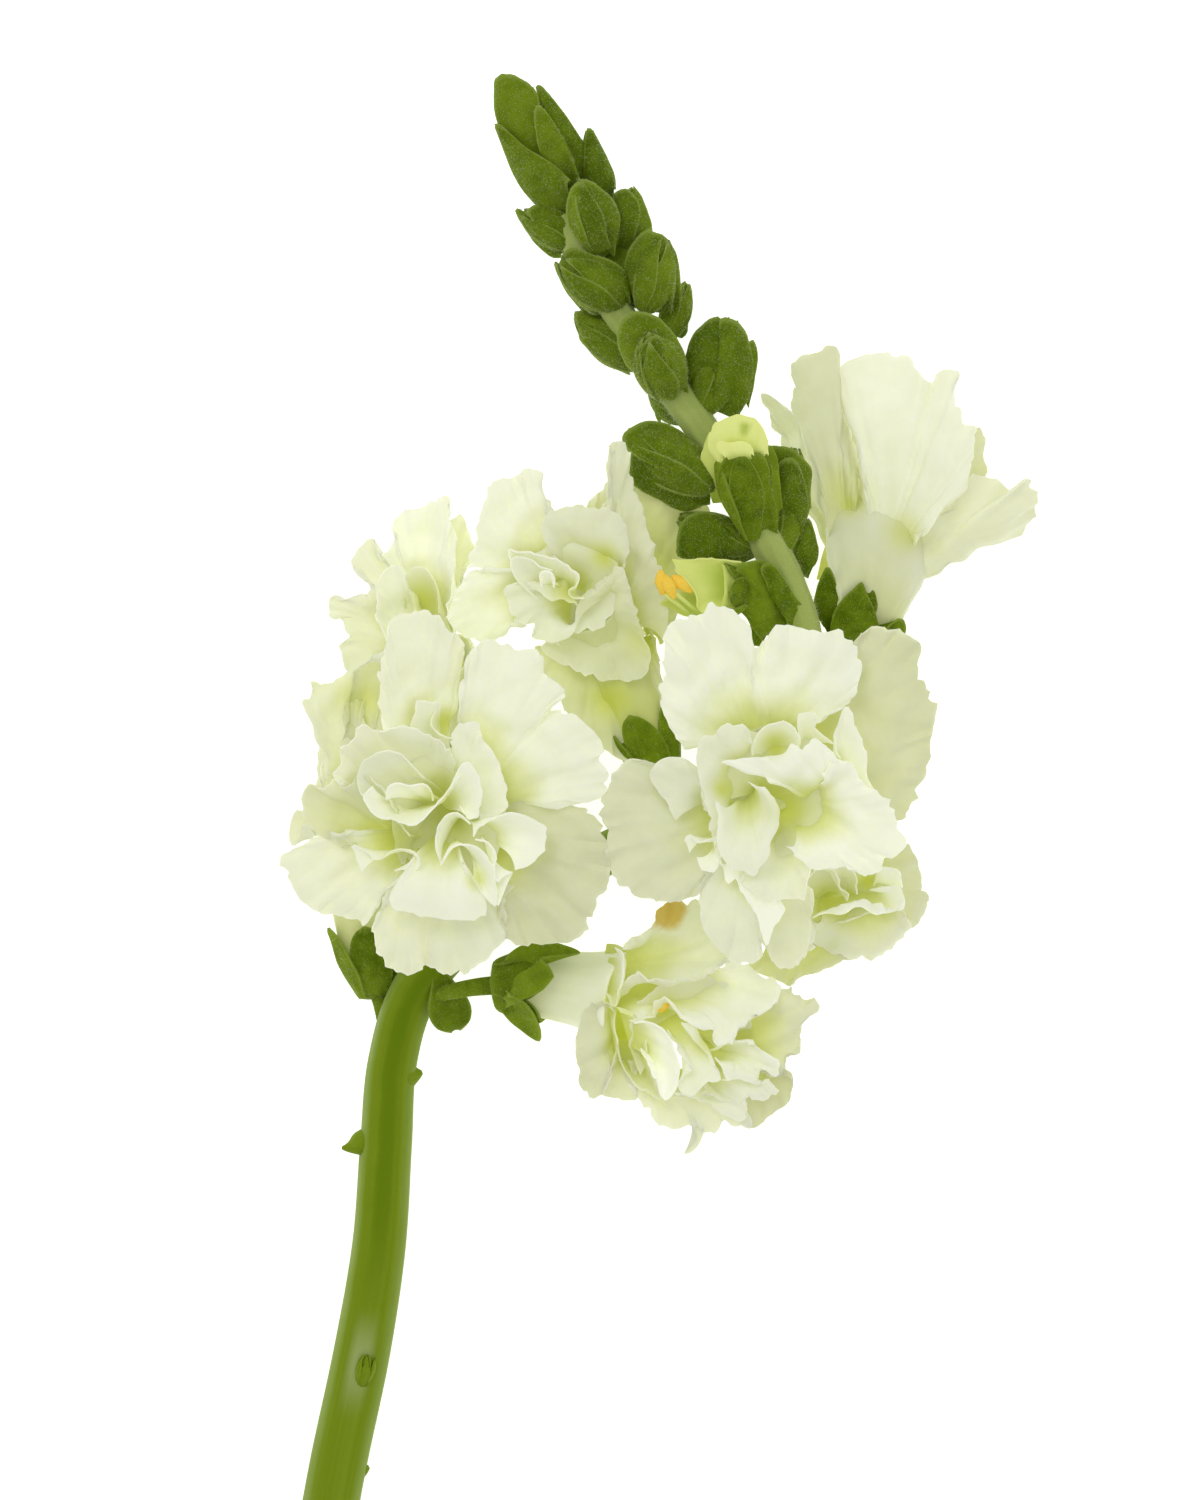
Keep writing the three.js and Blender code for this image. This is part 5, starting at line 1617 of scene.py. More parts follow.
            214, -164, 194, 200, -134, 200, 197, -106, 200, 208, -85, 200, 232, -73, 200,
            267, -71, 200, 298, -85, 200, 310, -113, 194, 293, -144, 190, 261, -162, 190,
            232, -166, 192,
        ), early=1.2, swell=0.4, neck=1.5, tone_and_shade=0.35, green=0.3),
        Petal((27.9, -7.3, 20), (
            298, -45, 210, 312, -37, 218, 327, -31, 225, 341, -28, 225, 354, -42, 220,
            365, -68, 215, 368, -87, 214, 367, -96, 210, 375, -103, 213, 377, -113, 205,
            371, -130, 200, 362, -144, 195, 353, -152, 190, 338, -148, 190, 318, -138, 200,
        ), early=1.6, swell=0.6, neck=8, tone_and_shade=0.22),
        Petal((27, -10.7, 20), (
            211, -138, 235, 208, -152, 220, 212, -169, 220, 222, -177, 210, 238, -186, 212,
            260, -193, 200, 284, -194, 203, 310, -193, 195, 319, -183, 204, 332, -173, 200,
            343, -165, 206, 346, -155, 205, 353, -149, 215, 344, -138, 220, 341, -127, 230,
        ), early=2, swell=1.6, neck=9, tone_and_shade=0.42),
        Petal((27.5, -10.4, 22), (
            213, -140, 260, 227, -130, 270, 252, -119, 275, 269, -115, 276, 287, -112, 270,
            308, -121, 265, 329, -125, 260, 341, -126, 260, 342, -112, 263, 338, -97, 260,
            328, -91, 260, 315, -93, 263, 294, -98, 260,
        ), early=1.5, swell=1.2, neck=6, tone_and_shade=0.97),
        Petal((23.4, -11, 18), (
            208, -132, 250, 205, -112, 255, 205, -91, 260, 210, -79, 265, 224, -70, 270,
            241, -71, 272, 249, -81, 270, 255, -95, 265, 266, -111, 260,
        ), early=1.2, swell=-2.2, neck=5, tone_and_shade=0.67, green=0.21),
        Petal((26.2, -10.3, 21), (
            250, -91, 250, 240, -73, 260, 252, -67, 265, 263, -66, 270, 272, -74, 265,
            276, -87, 260, 275, -105, 255,
        ), early=1.2, swell=-0.6, crimp=0.15, neck=4, tone_and_shade=0.62, green=0.18),
        Petal((30.9, -9.3, 21), (
            299, -93, 250, 304, -74, 260, 312, -66, 265, 325, -67, 265, 335, -73, 268,
            339, -84, 260, 338, -97, 255, 323, -97, 250,
        ), early=1.4, swell=0.7, crimp=0.15, neck=4, tone_and_shade=0.97),
        Petal((18.3, -11.3, 23), (
            157, -123, 270, 149, -151, 270, 147, -171, 260, 153, -182, 264, 160, -191, 260,
            164, -205, 256, 173, -208, 250, 182, -199, 256, 191, -203, 250, 201, -196, 255,
            206, -182, 262, 214, -178, 260, 205, -160, 270, 196, -133, 275,
        ), early=1.5, swell=0.9, neck=5, tone_and_shade=0.57),
        Petal((19.7, -14.8, 19), (
            129, -194, 225, 124, -205, 220, 143, -217, 220, 163, -224, 220, 176, -233, 215,
            186, -233, 218, 194, -225, 210, 208, -217, 213, 225, -214, 210, 239, -206, 205,
            253, -197, 204, 267, -193, 200, 260, -169, 210,
        ), early=1.6, swell=0.5, neck=9, tone_and_shade=0.12, green=0.3),
    ),
    "low_right": (
        Petal((1.1, -29.5, 24), (
            -28, -357, 300, -42, -315, 300, -34, -266, 305, 0, -231, 305, 56, -217, 305,
            105, -238, 305, 126, -280, 300, 129, -329, 300, 105, -371, 300, 56, -389, 300,
            7, -389, 300,
        ), early=1.4, swell=2.4, crimp=0.2, neck=5, tone_and_shade=0.5, green=0.25),
        Petal((-7.8, -20.8, 25), (
            -64, -256, 300, -44, -219, 330, -14, -223, 344, 28, -222, 342, 63, -218, 334,
            95, -195, 325, 126, -182, 315, 123, -147, 295, 91, -119, 286, 56, -113, 286,
            28, -115, 290, 11, -113, 286, 1, -122, 292, -4, -137, 288, -17, -154, 296,
            -39, -164, 294, -56, -182, 290,
        ), early=1.3, swell=2.4, neck=7, tone_and_shade=0.55),
        Petal((-7.6, -21.7, 28), (
            -62, -179, 304, -53, -184, 320, -52, -202, 330, -52, -223, 334, -59, -240, 330,
            -62, -260, 320, -70, -257, 314, -76, -240, 306,
        ), early=1.2, swell=1.2, crimp=0.1, neck=5, tone_and_shade=0.7),
        Petal((-3.4, -23.1, 26), (
            -43, -281, 310, -25, -280, 330, -11, -270, 340, -6, -251, 352, 4, -245, 356,
            15, -259, 358, 29, -276, 350, 54, -290, 346, 72, -293, 354, 74, -306, 360,
            86, -315, 366, 97, -308, 362, 106, -293, 350, 135, -272, 346, 159, -259, 334,
            165, -246, 330, 166, -229, 318, 140, -216, 314, 115, -200, 306, 87, -196, 310,
        ), early=1.5, swell=1.9, neck=10, tone_and_shade=0.8),
        Petal((-6.7, -30.1, 28), (
            -66, -268, 316, -77, -257, 314, -90, -256, 310, -104, -263, 302, -112, -282, 296,
            -118, -308, 290, -118, -329, 284, -113, -353, 276, -112, -375, 270, -101, -385, 268,
            -84, -387, 274, -73, -371, 286, -66, -343, 298, -60, -314, 306,
        ), early=1.3, swell=1.2, neck=8, tone_and_shade=0.2),
        Petal((-5.9, -30.8, 27), (
            -73, -336, 290, -76, -364, 280, -81, -384, 270, -64, -391, 270, -45, -392, 272,
            -32, -391, 276, -36, -364, 284, -45, -336, 294,
        ), early=1.3, swell=1, neck=8, tone_and_shade=0.35, green=0.15),
        Petal((-5.3, -27.4, 23), (
            -59, -255, 290, -64, -280, 300, -60, -310, 306, -53, -341, 304, -36, -369, 300,
            -14, -383, 300, 3, -388, 310, -17, -335, 330, -20, -307, 330,
        ), early=1.1, swell=-1.6, crimp=0.1, neck=9, tone_and_shade=0.4, green=0.75),
        Petal((-4.8, -29.4, 29), (
            -28, -318, 336, -21, -332, 350, -10, -354, 358, 5, -389, 362, 14, -386, 364,
            22, -372, 370, 26, -351, 372, 22, -328, 372, 14, -306, 366, 0, -290, 360,
            -17, -282, 346, -37, -282, 330,
        ), early=1.2, swell=1.3, crimp=0.12, neck=5, tone_and_shade=0.95),
        Petal((-4.2, -33, 25), (
            -53, -353, 280, -39, -378, 276, -28, -394, 274, -17, -402, 270, -11, -417, 274,
            3, -429, 270, 17, -433, 276, 35, -430, 274, 52, -428, 280, 55, -439, 286, 67, -438, 290,
            84, -431, 294, 89, -419, 300, 109, -428, 300, 129, -428, 304, 119, -408, 314,
            86, -391, 324, 56, -380, 330,
        ), early=1.3, swell=1.8, neck=10, tone_and_shade=0.6, green=0.1),
        Petal((5, -41.3, 28), (
            50, -428, 284, 52, -445, 286, 42, -459, 284, 32, -468, 282, 42, -466, 284,
            52, -458, 286, 59, -444, 288, 62, -428, 290,
        ), early=1, swell=0, crimp=0.05, neck=2, pleat=0, tone_and_shade=0.4),
        Petal((1.1, -27.7, 31), (
            11, -293, 340, 33, -334, 360, 44, -347, 366, 32, -356, 368, 25, -370, 362,
            33, -382, 364, 47, -383, 360, 58, -372, 358, 72, -364, 356, 85, -361, 354,
            75, -343, 354, 58, -319, 352, 42, -302, 354, 29, -282, 344,
        ), early=1.3, swell=0.8, crimp=0.15, neck=5, tone_and_shade=0.7, green=0.08),
        Petal((10.5, -30.1, 29), (
            123, -276, 320, 147, -263, 316, 165, -246, 314, 172, -235, 318, 182, -232, 316,
            184, -243, 320, 201, -249, 314, 218, -250, 320, 219, -263, 314, 204, -277, 316,
            196, -293, 310, 198, -313, 316, 193, -326, 306, 179, -328, 310, 173, -347, 304,
            165, -359, 308, 142, -352, 320,
        ), early=1.5, swell=1, neck=10, tone_and_shade=0.25),
        Petal((10.5, -33.6, 28), (
            151, -346, 316, 165, -358, 310, 182, -360, 314, 186, -372, 308, 180, -394, 310,
            162, -408, 302, 147, -419, 304, 138, -428, 298, 123, -429, 304, 112, -422, 300,
            114, -398, 314, 120, -380, 320,
        ), early=1.5, swell=0.9, neck=9, tone_and_shade=0.1),
        Petal((5.6, -31.5, 30), (
            67, -318, 340, 86, -311, 346, 109, -307, 350, 131, -315, 348, 152, -329, 346,
            163, -340, 340, 163, -357, 336, 138, -347, 348, 135, -365, 336, 117, -360, 342,
            104, -361, 344, 93, -362, 348, 78, -330, 350,
        ), early=1.4, swell=1.4, neck=7, tone_and_shade=0.75, green=0.05),
        Petal((4.8, -34.4, 29), (
            22, -381, 326, 45, -388, 324, 67, -397, 320, 107, -420, 316, 120, -415, 320,
            117, -391, 328, 128, -385, 324, 145, -391, 320, 162, -380, 324, 153, -366, 334,
            135, -368, 330, 118, -363, 340, 102, -360, 340, 86, -361, 340,
        ), early=1.5, swell=1.4, neck=8, tone_and_shade=0.65),
    ),
    "top_right": (
        Petal((29.1, 33.8, 14.6), (
            259, 466, 60, 263, 523, 50, 284, 573, 40, 324, 594, 34, 367, 588, 36, 405, 554, 40,
            423, 509, 50, 411, 463, 70,
        ), early=1.2, swell=1, neck=14, tone_and_shade=0.2),
        Petal((29.9, 30.1, 16), (
            262, 309, 170, 242, 365, 180, 240, 416, 184, 240, 450, 180, 268, 492, 170,
            310, 506, 166, 352, 492, 170, 380, 450, 180, 372, 407, 184, 369, 365, 180,
            355, 312, 174,
        ), early=1, swell=-3.6, neck=8, tone_and_shade=0.2, up=True),
        Petal((31.9, 33.2, 16.2), (
            426, 478, 150, 432, 514, 144, 437, 543, 148, 452, 553, 140, 459, 535, 144,
            456, 513, 138, 463, 494, 140, 458, 480, 134,
        ), early=1.2, swell=0.4, neck=6, tone_and_shade=0.3, green=0.1),
        Petal((26.5, 35.7, 17), (
            214, 492, 174, 202, 526, 170, 192, 557, 170, 182, 577, 164, 164, 590, 160,
            150, 601, 154, 143, 600, 150, 156, 570, 140, 160, 555, 140, 170, 546, 136,
            173, 507, 130, 187, 465, 130,
        ), early=1.2, swell=0.6, neck=6, tone_and_shade=0.5),
        Petal((34.2, 33.7, 18.4), (
            373, 433, 180, 425, 461, 180, 432, 478, 176, 447, 484, 174, 465, 482, 172,
            476, 478, 176, 487, 467, 172, 499, 458, 174, 508, 472, 186, 518, 479, 194,
            526, 469, 190, 531, 450, 184, 528, 429, 170, 520, 418, 160, 506, 402, 150,
            452, 391, 144, 432, 381, 144, 412, 366, 146, 392, 354, 150, 378, 343, 154,
            364, 321, 160,
        ), early=1, swell=2, neck=8, tone_and_shade=0.45, green=0.1, up=True),
        Petal((29.3, 26.4, 19.8), (
            262, 278, 184, 248, 309, 186, 239, 344, 188, 235, 382, 188, 235, 414, 186,
            241, 450, 186, 261, 471, 188, 289, 478, 190, 324, 471, 190, 352, 452, 190,
            367, 424, 188, 373, 385, 188, 373, 343, 188, 342, 284, 184,
        ), early=1, swell=4.9, crimp=0.1, neck=8, pleat=0.1, tone_and_shade=0.25, green=0.3, up=True),
        Petal((25.6, 41, 20.2), (
            270, 449, 198, 276, 480, 202, 276, 513, 202, 259, 573, 198, 251, 597, 196,
            248, 618, 192, 254, 638, 188, 252, 653, 194, 246, 667, 196, 234, 665, 194,
            225, 658, 196, 197, 651, 188, 186, 642, 184, 189, 604, 186, 185, 583, 186,
            192, 573, 188, 199, 548, 190, 207, 520, 190, 213, 485, 190, 223, 450, 190,
            237, 430, 194,
        ), early=1, swell=3.8, crimp=0.25, neck=4.4, tone_and_shade=0.22, green=0.1, up=True),
        Petal((32.5, 39.6, 20.2), (
            288, 444, 204, 281, 463, 208, 281, 491, 210, 278, 519, 210, 273, 545, 210,
            262, 573, 210, 250, 595, 208, 253, 621, 204, 260, 642, 202, 279, 650, 204,
            300, 655, 196, 318, 656, 200, 338, 652, 200, 354, 645, 204, 363, 629, 202,
            371, 618, 204, 385, 617, 200, 392, 629, 204, 402, 634, 200, 415, 631, 206,
            423, 625, 210, 415, 614, 212, 413, 595, 210, 418, 576, 210, 425, 569, 206,
            427, 556, 206, 444, 551, 204, 440, 527, 202, 437, 503, 202, 432, 478, 198,
            425, 458, 196, 388, 427, 194, 372, 413, 196, 349, 407, 202,
        ), early=1, swell=5.2, crimp=0.3, neck=7, pleat=0.2, tone_and_shade=0.7, green=0.02, up=True),
    ),
    "middle_top": (
        Petal((-11.9, 32.5, 27), (
            -168, 282, 315, -193, 322, 320, -185, 356, 325, -154, 384, 330, -112, 391, 330,
            -76, 375, 330, -56, 342, 325, -62, 301, 320, -84, 269, 315, -126, 263, 315,
        ), early=1.4, swell=1.8, crimp=0.2, neck=4, tone_and_shade=0.5, green=0.2),
        Petal((-6.7, 25.2, 23), (
            -174, 249, 270, -172, 227, 266, -160, 202, 264, -140, 176, 260, -137, 160, 258,
            -98, 115, 250, -73, 95, 246, -42, 81, 244, -11, 90, 244, 11, 115, 246, 9, 154, 250,
            3, 196, 256, -6, 238, 264, -17, 273, 270,
        ), early=1.4, swell=1.2, neck=12, tone_and_shade=0.3, green=0.3),
        Petal((-2.8, 30.2, 23), (
            -50, 462, 280, -43, 480, 276, -25, 473, 266, 14, 456, 250, 34, 449, 240, 54, 445, 230,
            70, 438, 220, 66, 407, 220, 55, 368, 224, 39, 323, 232, 20, 280, 244, 0, 245, 254,
        ), early=1.4, swell=0.8, neck=9, tone_and_shade=0.2, green=0.35),
        Petal((-7.6, 30, 23.5), (
            -106, 431, 310, -98, 447, 314, -84, 460, 310, -62, 478, 320, -50, 464, 314,
            -48, 439, 310,
        ), early=1.4, swell=0.5, neck=6, tone_and_shade=0.35, green=0.3),
        Petal((-5.3, 30.8, 26), (
            -84, 431, 320, -67, 465, 330, -60, 480, 340, -69, 494, 340, -69, 507, 346,
            -62, 513, 342, -71, 519, 350, -67, 528, 348, -53, 528, 350, -44, 517, 346,
            -45, 494, 338, -39, 472, 330, -28, 444, 324, -9, 380, 310, 8, 313, 296, 11, 277, 286,
            3, 252, 280,
        ), early=1.4, swell=1, neck=8, tone_and_shade=0.35, green=0.08),
        Petal((-13.7, 33.3, 27), (
            -271, 352, 316, -260, 383, 326, -253, 419, 334, -242, 451, 336, -236, 471, 344,
            -226, 478, 338, -212, 475, 342, -203, 482, 338, -194, 483, 346, -191, 490, 342,
            -179, 491, 348, -164, 483, 342, -164, 475, 340, -172, 468, 330, -166, 457, 336,
            -155, 444, 330, -150, 428, 334, -145, 405, 330,
        ), early=1.5, swell=1.2, neck=9, tone_and_shade=0.75),
        Petal((-15.7, 31.9, 27), (
            -207, 348, 330, -235, 347, 328, -263, 349, 320, -282, 322, 314, -294, 297, 310,
            -295, 277, 304, -285, 264, 306, -269, 255, 300, -249, 250, 304, -229, 256, 298,
            -213, 264, 298, -201, 283, 300,
        ), early=1.5, swell=1.4, neck=9, tone_and_shade=0.8, green=0.05),
        Petal((-9, 33.9, 28), (
            -143, 356, 330, -155, 380, 344, -164, 405, 350, -159, 424, 356, -143, 433, 354,
            -115, 438, 360, -87, 435, 360, -66, 433, 356, -53, 422, 352, -46, 399, 348,
            -44, 377, 342, -50, 352, 334,
        ), early=1.5, swell=1.8, neck=8, tone_and_shade=0.4),
        Petal((-13.2, 31.9, 29), (
            -106, 310, 346, -123, 310, 350, -127, 320, 356, -116, 328, 364, -115, 343, 370,
            -131, 356, 372, -151, 366, 376, -170, 370, 376, -182, 374, 374, -200, 374, 376,
            -212, 378, 370, -208, 360, 370, -204, 346, 366,
        ), early=1.2, swell=-1, crimp=0.12, neck=6, tone_and_shade=0.75, green=0.1),
        Petal((-14.6, 31.6, 30), (
            -173, 310, 356, -190, 324, 364, -204, 341, 370, -209, 360, 374, -198, 368, 380,
            -182, 363, 380, -168, 354, 380, -151, 349, 376,
        ), early=1.2, swell=0.6, crimp=0.12, neck=5, tone_and_shade=0.6),
        Petal((-14.6, 32.2, 31), (
            -166, 324, 366, -168, 342, 376, -162, 347, 380, -152, 345, 380, -147, 335, 376,
            -148, 324, 370,
        ), early=1.2, swell=0.4, crimp=0.06, neck=3, tone_and_shade=0.9),
        Petal((-12.3, 31.1, 28), (
            -116, 299, 330, -131, 306, 344, -151, 307, 350, -168, 316, 354, -182, 324, 352,
            -196, 330, 354, -210, 328, 350, -217, 318, 346, -212, 302, 340, -205, 285, 336,
            -196, 277, 330, -182, 275, 326, -175, 266, 324, -178, 255, 318, -159, 249, 316,
            -140, 250, 318, -123, 260, 320, -116, 277, 326,
        ), early=1.4, swell=1.6, neck=7, tone_and_shade=0.6),
        Petal((-8.1, 30, 27), (
            -119, 266, 326, -118, 291, 330, -112, 307, 336, -98, 316, 336, -81, 331, 342,
            -64, 345, 344, -52, 351, 346, -44, 327, 336, -34, 294, 326, -21, 252, 310,
            -13, 221, 296, -25, 199, 286, -53, 195, 280, -84, 197, 280, -112, 207, 280,
            -140, 220, 284, -160, 232, 288, -165, 245, 296, -140, 246, 304,
        ), early=1.5, swell=1.4, neck=9, tone_and_shade=0.4, green=0.2),
    ),
    "left_top": (
        Petal((-29.3, 23.2, 15.4), (
            -300, 410, 214, -295, 421, 216, -286, 425, 212, -278, 429, 218, -272, 413, 214,
            -264, 392, 216, -260, 383, 210, -267, 362, 208, -278, 337, 204, -284, 309, 200,
        ), early=1.4, swell=0.4, neck=7, tone_and_shade=0.55, green=0.12),
        Petal((-30.4, 22.8, 14.6), (
            -391, 372, 224, -380, 380, 228, -372, 396, 224, -370, 405, 232, -376, 410, 228,
            -372, 421, 234, -360, 432, 234, -343, 437, 242, -325, 443, 240, -311, 451, 248,
            -300, 456, 250, -294, 451, 254, -296, 435, 250, -293, 420, 254, -287, 404, 248,
            -286, 381, 246, -287, 353, 242, -294, 320, 238, -300, 283, 230,
        ), early=1.1, swell=0.8, neck=9, tone_and_shade=0.9),
        Petal((-31.5, 22.5, 15), (
            -387, 370, 220, -396, 376, 214, -400, 392, 218, -407, 396, 212, -417, 389, 218,
            -424, 379, 210, -431, 369, 210, -435, 358, 204, -427, 351, 208, -417, 343, 202,
            -410, 333, 206, -404, 323, 204, -399, 306, 206,
        ), early=1.4, swell=0.9, neck=8, tone_and_shade=0.65),
        Petal((-31.8, 21.6, 14.6), (
            -396, 331, 214, -406, 321, 214, -416, 313, 212, -430, 313, 216, -445, 307, 210,
            -456, 311, 216, -463, 309, 210, -466, 295, 204, -465, 285, 208, -448, 282, 202,
            -444, 269, 206, -435, 257, 200, -445, 251, 204, -449, 241, 198, -447, 225, 198,
            -438, 209, 190, -424, 213, 194, -407, 225, 190, -388, 236, 194, -376, 253, 200,
        ), early=1.4, swell=1, neck=9, tone_and_shade=0.6),
        Petal((-30.9, 22.2, 15.6), (
            -384, 252, 220, -396, 280, 226, -398, 309, 230, -393, 339, 234, -376, 356, 234,
            -359, 351, 230, -348, 306, 220, -340, 283, 216,
        ), early=1.2, swell=0.8, neck=8, tone_and_shade=0.85, green=0.05),
        Petal((-30.7, 22.5, 14), (
            -359, 300, 210, -362, 325, 220, -354, 348, 226, -337, 356, 230, -320, 342, 232,
            -311, 320, 230, -311, 292, 224,
        ), early=1, swell=-1.4, crimp=0.08, neck=6, tone_and_shade=0.6, green=0.4),
    ),
    "far_left": (
        Petal((-43.2, -1.2, 6.6), (
            -478, 34, 30, -484, 77, 16, -478, 126, 8, -459, 160, 5, -430, 172, 5, -402, 155, 6,
            -385, 112, 10, -385, 63, 24, -393, 27, 40,
        ), early=1.3, swell=-0.4, neck=12, tone_and_shade=0.35),
        Petal((-43.7, -1.5, 10.6), (
            -477, 27, 100, -478, 63, 106, -477, 105, 110, -476, 130, 120, -480, 145, 124,
            -494, 147, 134, -503, 156, 136, -501, 168, 144, -493, 171, 144, -491, 187, 152,
            -486, 194, 150, -470, 191, 154, -455, 198, 150, -439, 209, 154, -428, 219, 154,
            -419, 183, 150, -414, 140, 146, -411, 84, 140,
        ), early=1.3, swell=0.9, neck=9, tone_and_shade=0.6, green=0.06),
        Petal((-42, -1.5, 11.6), (
            -439, 126, 146, -436, 168, 150, -429, 211, 156, -414, 230, 160, -394, 240, 164,
            -380, 233, 166, -385, 202, 160, -388, 168, 154, -383, 70, 144,
        ), early=1.3, swell=0.8, neck=9, tone_and_shade=0.3, green=0.1),
        Petal((-46.5, -2.9, 10.6), (
            -499, 11, 120, -512, 12, 120, -520, 1, 116, -523, -19, 112, -522, -33, 110,
            -516, -38, 110, -509, -23, 116, -505, -9, 120, -493, -6, 124,
        ), early=1.2, swell=0.2, crimp=0.1, neck=4, pleat=0, tone_and_shade=0.55),
    ),
    "torn_young": (
        Petal((11.8, 31.4, 28), (
            98, 291, 290, 73, 284, 294, 52, 285, 298, 42, 284, 296, 29, 287, 294, 17, 295, 298,
            6, 299, 300, 4, 306, 304, 56, 327, 314,
        ), early=1.1, swell=-0.8, crimp=0.1, neck=4, tone_and_shade=0.25, green=0.6),
        Petal((12, 33, 30), (
            114, 361, 316, 72, 365, 324, 49, 365, 326, 31, 363, 326, 17, 365, 328, 22, 355, 332,
            21, 348, 334, 33, 339, 338, 43, 328, 336, 51, 312, 332, 54, 292, 324, 72, 289, 322,
            92, 294, 320, 109, 299, 314,
        ), early=1.1, swell=1.6, crimp=0.08, neck=6, pleat=0.05, tone_and_shade=0.6, green=0.1),
    ),
}

# the petals folded over the opening bud, and the middle of the slit between them, where shade is
# painted
OPENING_PETALS: tuple[Petal, ...] = (
    Petal((8.4, 44.5, 27.6), (
        68, 460, 294, 59, 482, 306, 57, 506, 318, 63, 527, 328, 71, 543, 338, 79, 531, 346,
        86, 514, 348, 89, 489, 340, 88, 461, 318,
    ), early=1.1, swell=1, crimp=0.05, neck=3, pleat=0, tone_and_shade=0.35, green=0.3),
    Petal((11.9, 49.2, 31), (
        84, 497, 330, 70, 514, 340, 67, 531, 346, 72, 546, 350, 82, 557, 352, 95, 562, 354,
        108, 565, 354, 122, 564, 354, 135, 557, 352, 145, 543, 348, 150, 526, 342, 151, 509, 330,
    ), early=1.3, swell=1.6, crimp=0.1, neck=5, pleat=0, tone_and_shade=0.8),
    Petal((11.4, 50, 34), (
        92, 505, 358, 79, 519, 362, 82, 530, 366, 96, 526, 368, 113, 529, 368, 127, 522, 364,
        131, 508, 358,
    ), early=1.2, swell=0.6, crimp=0.05, neck=3, pleat=0, tone_and_shade=0.95),
)
OPENING_SLIT: Triple = (11.8, 54.6, 36.4)

FLOWERS: tuple[Flower, ...] = (
    Flower(
        "front_left", mouth=(-28.7, 1.4, 41), facing=(-0.1, 0.08, 1), base=(-23.2, -7.2, 22.6),
        rise=(-0.3, 0.45, 1), stalk=(-19.4, -10.8, 16.6), lip=0.82, shade_pools=(((-30.6, 4.2, 44), 3.2),
        ((-37.3, -2.4, 41), 5), ((-29.8, 13.7, 42), 3), ((-25.6, -8.3, 42), 2.5)), green=0.3,
    ),
    Flower(
        "front_right", mouth=(14.7, 6.3, 42), facing=(0.04, -0.2, 1), base=(14.2, 9.0, 25.0),
        rise=(-0.05, -0.1, 1), stalk=(13.2, 9.6, 20.6), lip=0.8, shade_pools=(((17.7, 1.7, 42), 5), ((16,
        10.5, 44), 3.2), ((8.3, 4.2, 42), 2.5)), green=0.3,
    ),
    Flower(
        "right_low", mouth=(23.6, -7.2, 23), facing=(0.44, -0.55, 0.66), base=(14.8, 3.6, 15.6),
        rise=(0.62, -0.7, 0.4), stalk=(12.0, 7.0, 19.6), lip=0.86, shade_pools=(((23.3, -11.3, 22), 4.5),
        ((29.2, -8.4, 23), 3)), green=0.3,
    ),
    Flower(
        "low_right", mouth=(-2.0, -25.6, 26), facing=(0.84, -0.14, 0.5), base=(-22.4, -23.2, 22.0),
        rise=(1, 0.05, 0.12), stalk=(-34.6, -25.4, 13.6), scale=1.14, lip=0.84, cup=6.4,
        shade_pools=(((-4.4, -31.6, 29), 5.5), ((-5.3, -25.2, 29), 4), ((0.5, -26.5, 31), 3.5), ((6.3,
        -31.4, 32), 3)), green=0.12, pale=1, bract=Bract((-31.0, -21.6, 16.8), (-28.8, -29.6, 15.0),
        3.0), scorch=((0.7, -12, 31), 6.8),
    ),
    Flower(
        "top_right", mouth=(32.2, 42.6, 17.6), facing=(0.18, 0.96, 0.08), base=(26.6, 27.6, 18.6),
        rise=(0.25, 1, 0), stalk=(20.0, 23.0, 23.0), top=UP, lip=0.5, cup=5.6, shade_pools=(((25.6, 46.2,
        20), 6), ((26.8, 44.6, 20), 3.2), ((34, 40, 20), 4.5)), green=0.3,
    ),
    Flower(
        "middle_top", mouth=(-11.9, 33.2, 31), facing=(-0.3, 0.26, 0.9), base=(-0.3, 6.7, 21.4),
        rise=(-0.25, 0.9, 0.2), stalk=(2.8, 1.2, 18.6), lip=0.84, shade_pools=(((-7.6, 36.9, 33), 3.4),
        ((-13.1, 31.9, 33), 3.6), ((-6.7, 16.8, 24), 5), ((-2.1, 25.2, 26), 5)), green=0.4,
    ),
    Flower(
        "left_top", mouth=(-32.4, 23.4, 20), facing=(-0.46, 0.66, 0.58), base=(-23.6, 6.0, 15.6),
        rise=(-0.32, 1, 0.1), stalk=(-13.4, -7.6, 17.2), lip=0.9, shade_pools=(((-33.2, 31.2, 19), 5),
        ((-41.5, 18.3, 14), 4.5)), green=0.35,
    ),
    Flower(
        "far_left", mouth=(-43.0, 1.0, 11.5), facing=(-0.1, 0.98, 0.16), base=(-39.8, -23.6, 10.2),
        rise=(-0.28, 1, 0), stalk=(-37.8, -36.6, 10.8), top=UP, lip=1.0, shade_pools=(((-42.2, 16.8, 14),
        5),), green=0.3,
    ),
    Flower(
        "torn_young", mouth=(3.8, 32.6, 31.4), facing=(-0.96, 0.16, 0.16), base=(11.6, 31.6, 29.0),
        rise=(-0.9, 0.1, 0.35), stalk=(17.6, 31.4, 25.0), top=UP, scale=0.66, age=Age.YOUNG,
        lip=0.5, cup=3.4, threads=(((5.6, 28.8, 32.2), (1.5, 32.2, 33.8)), ((4.6, 28.4, 32.2), (0.7,
        31.6, 33.4))),
    ),
)


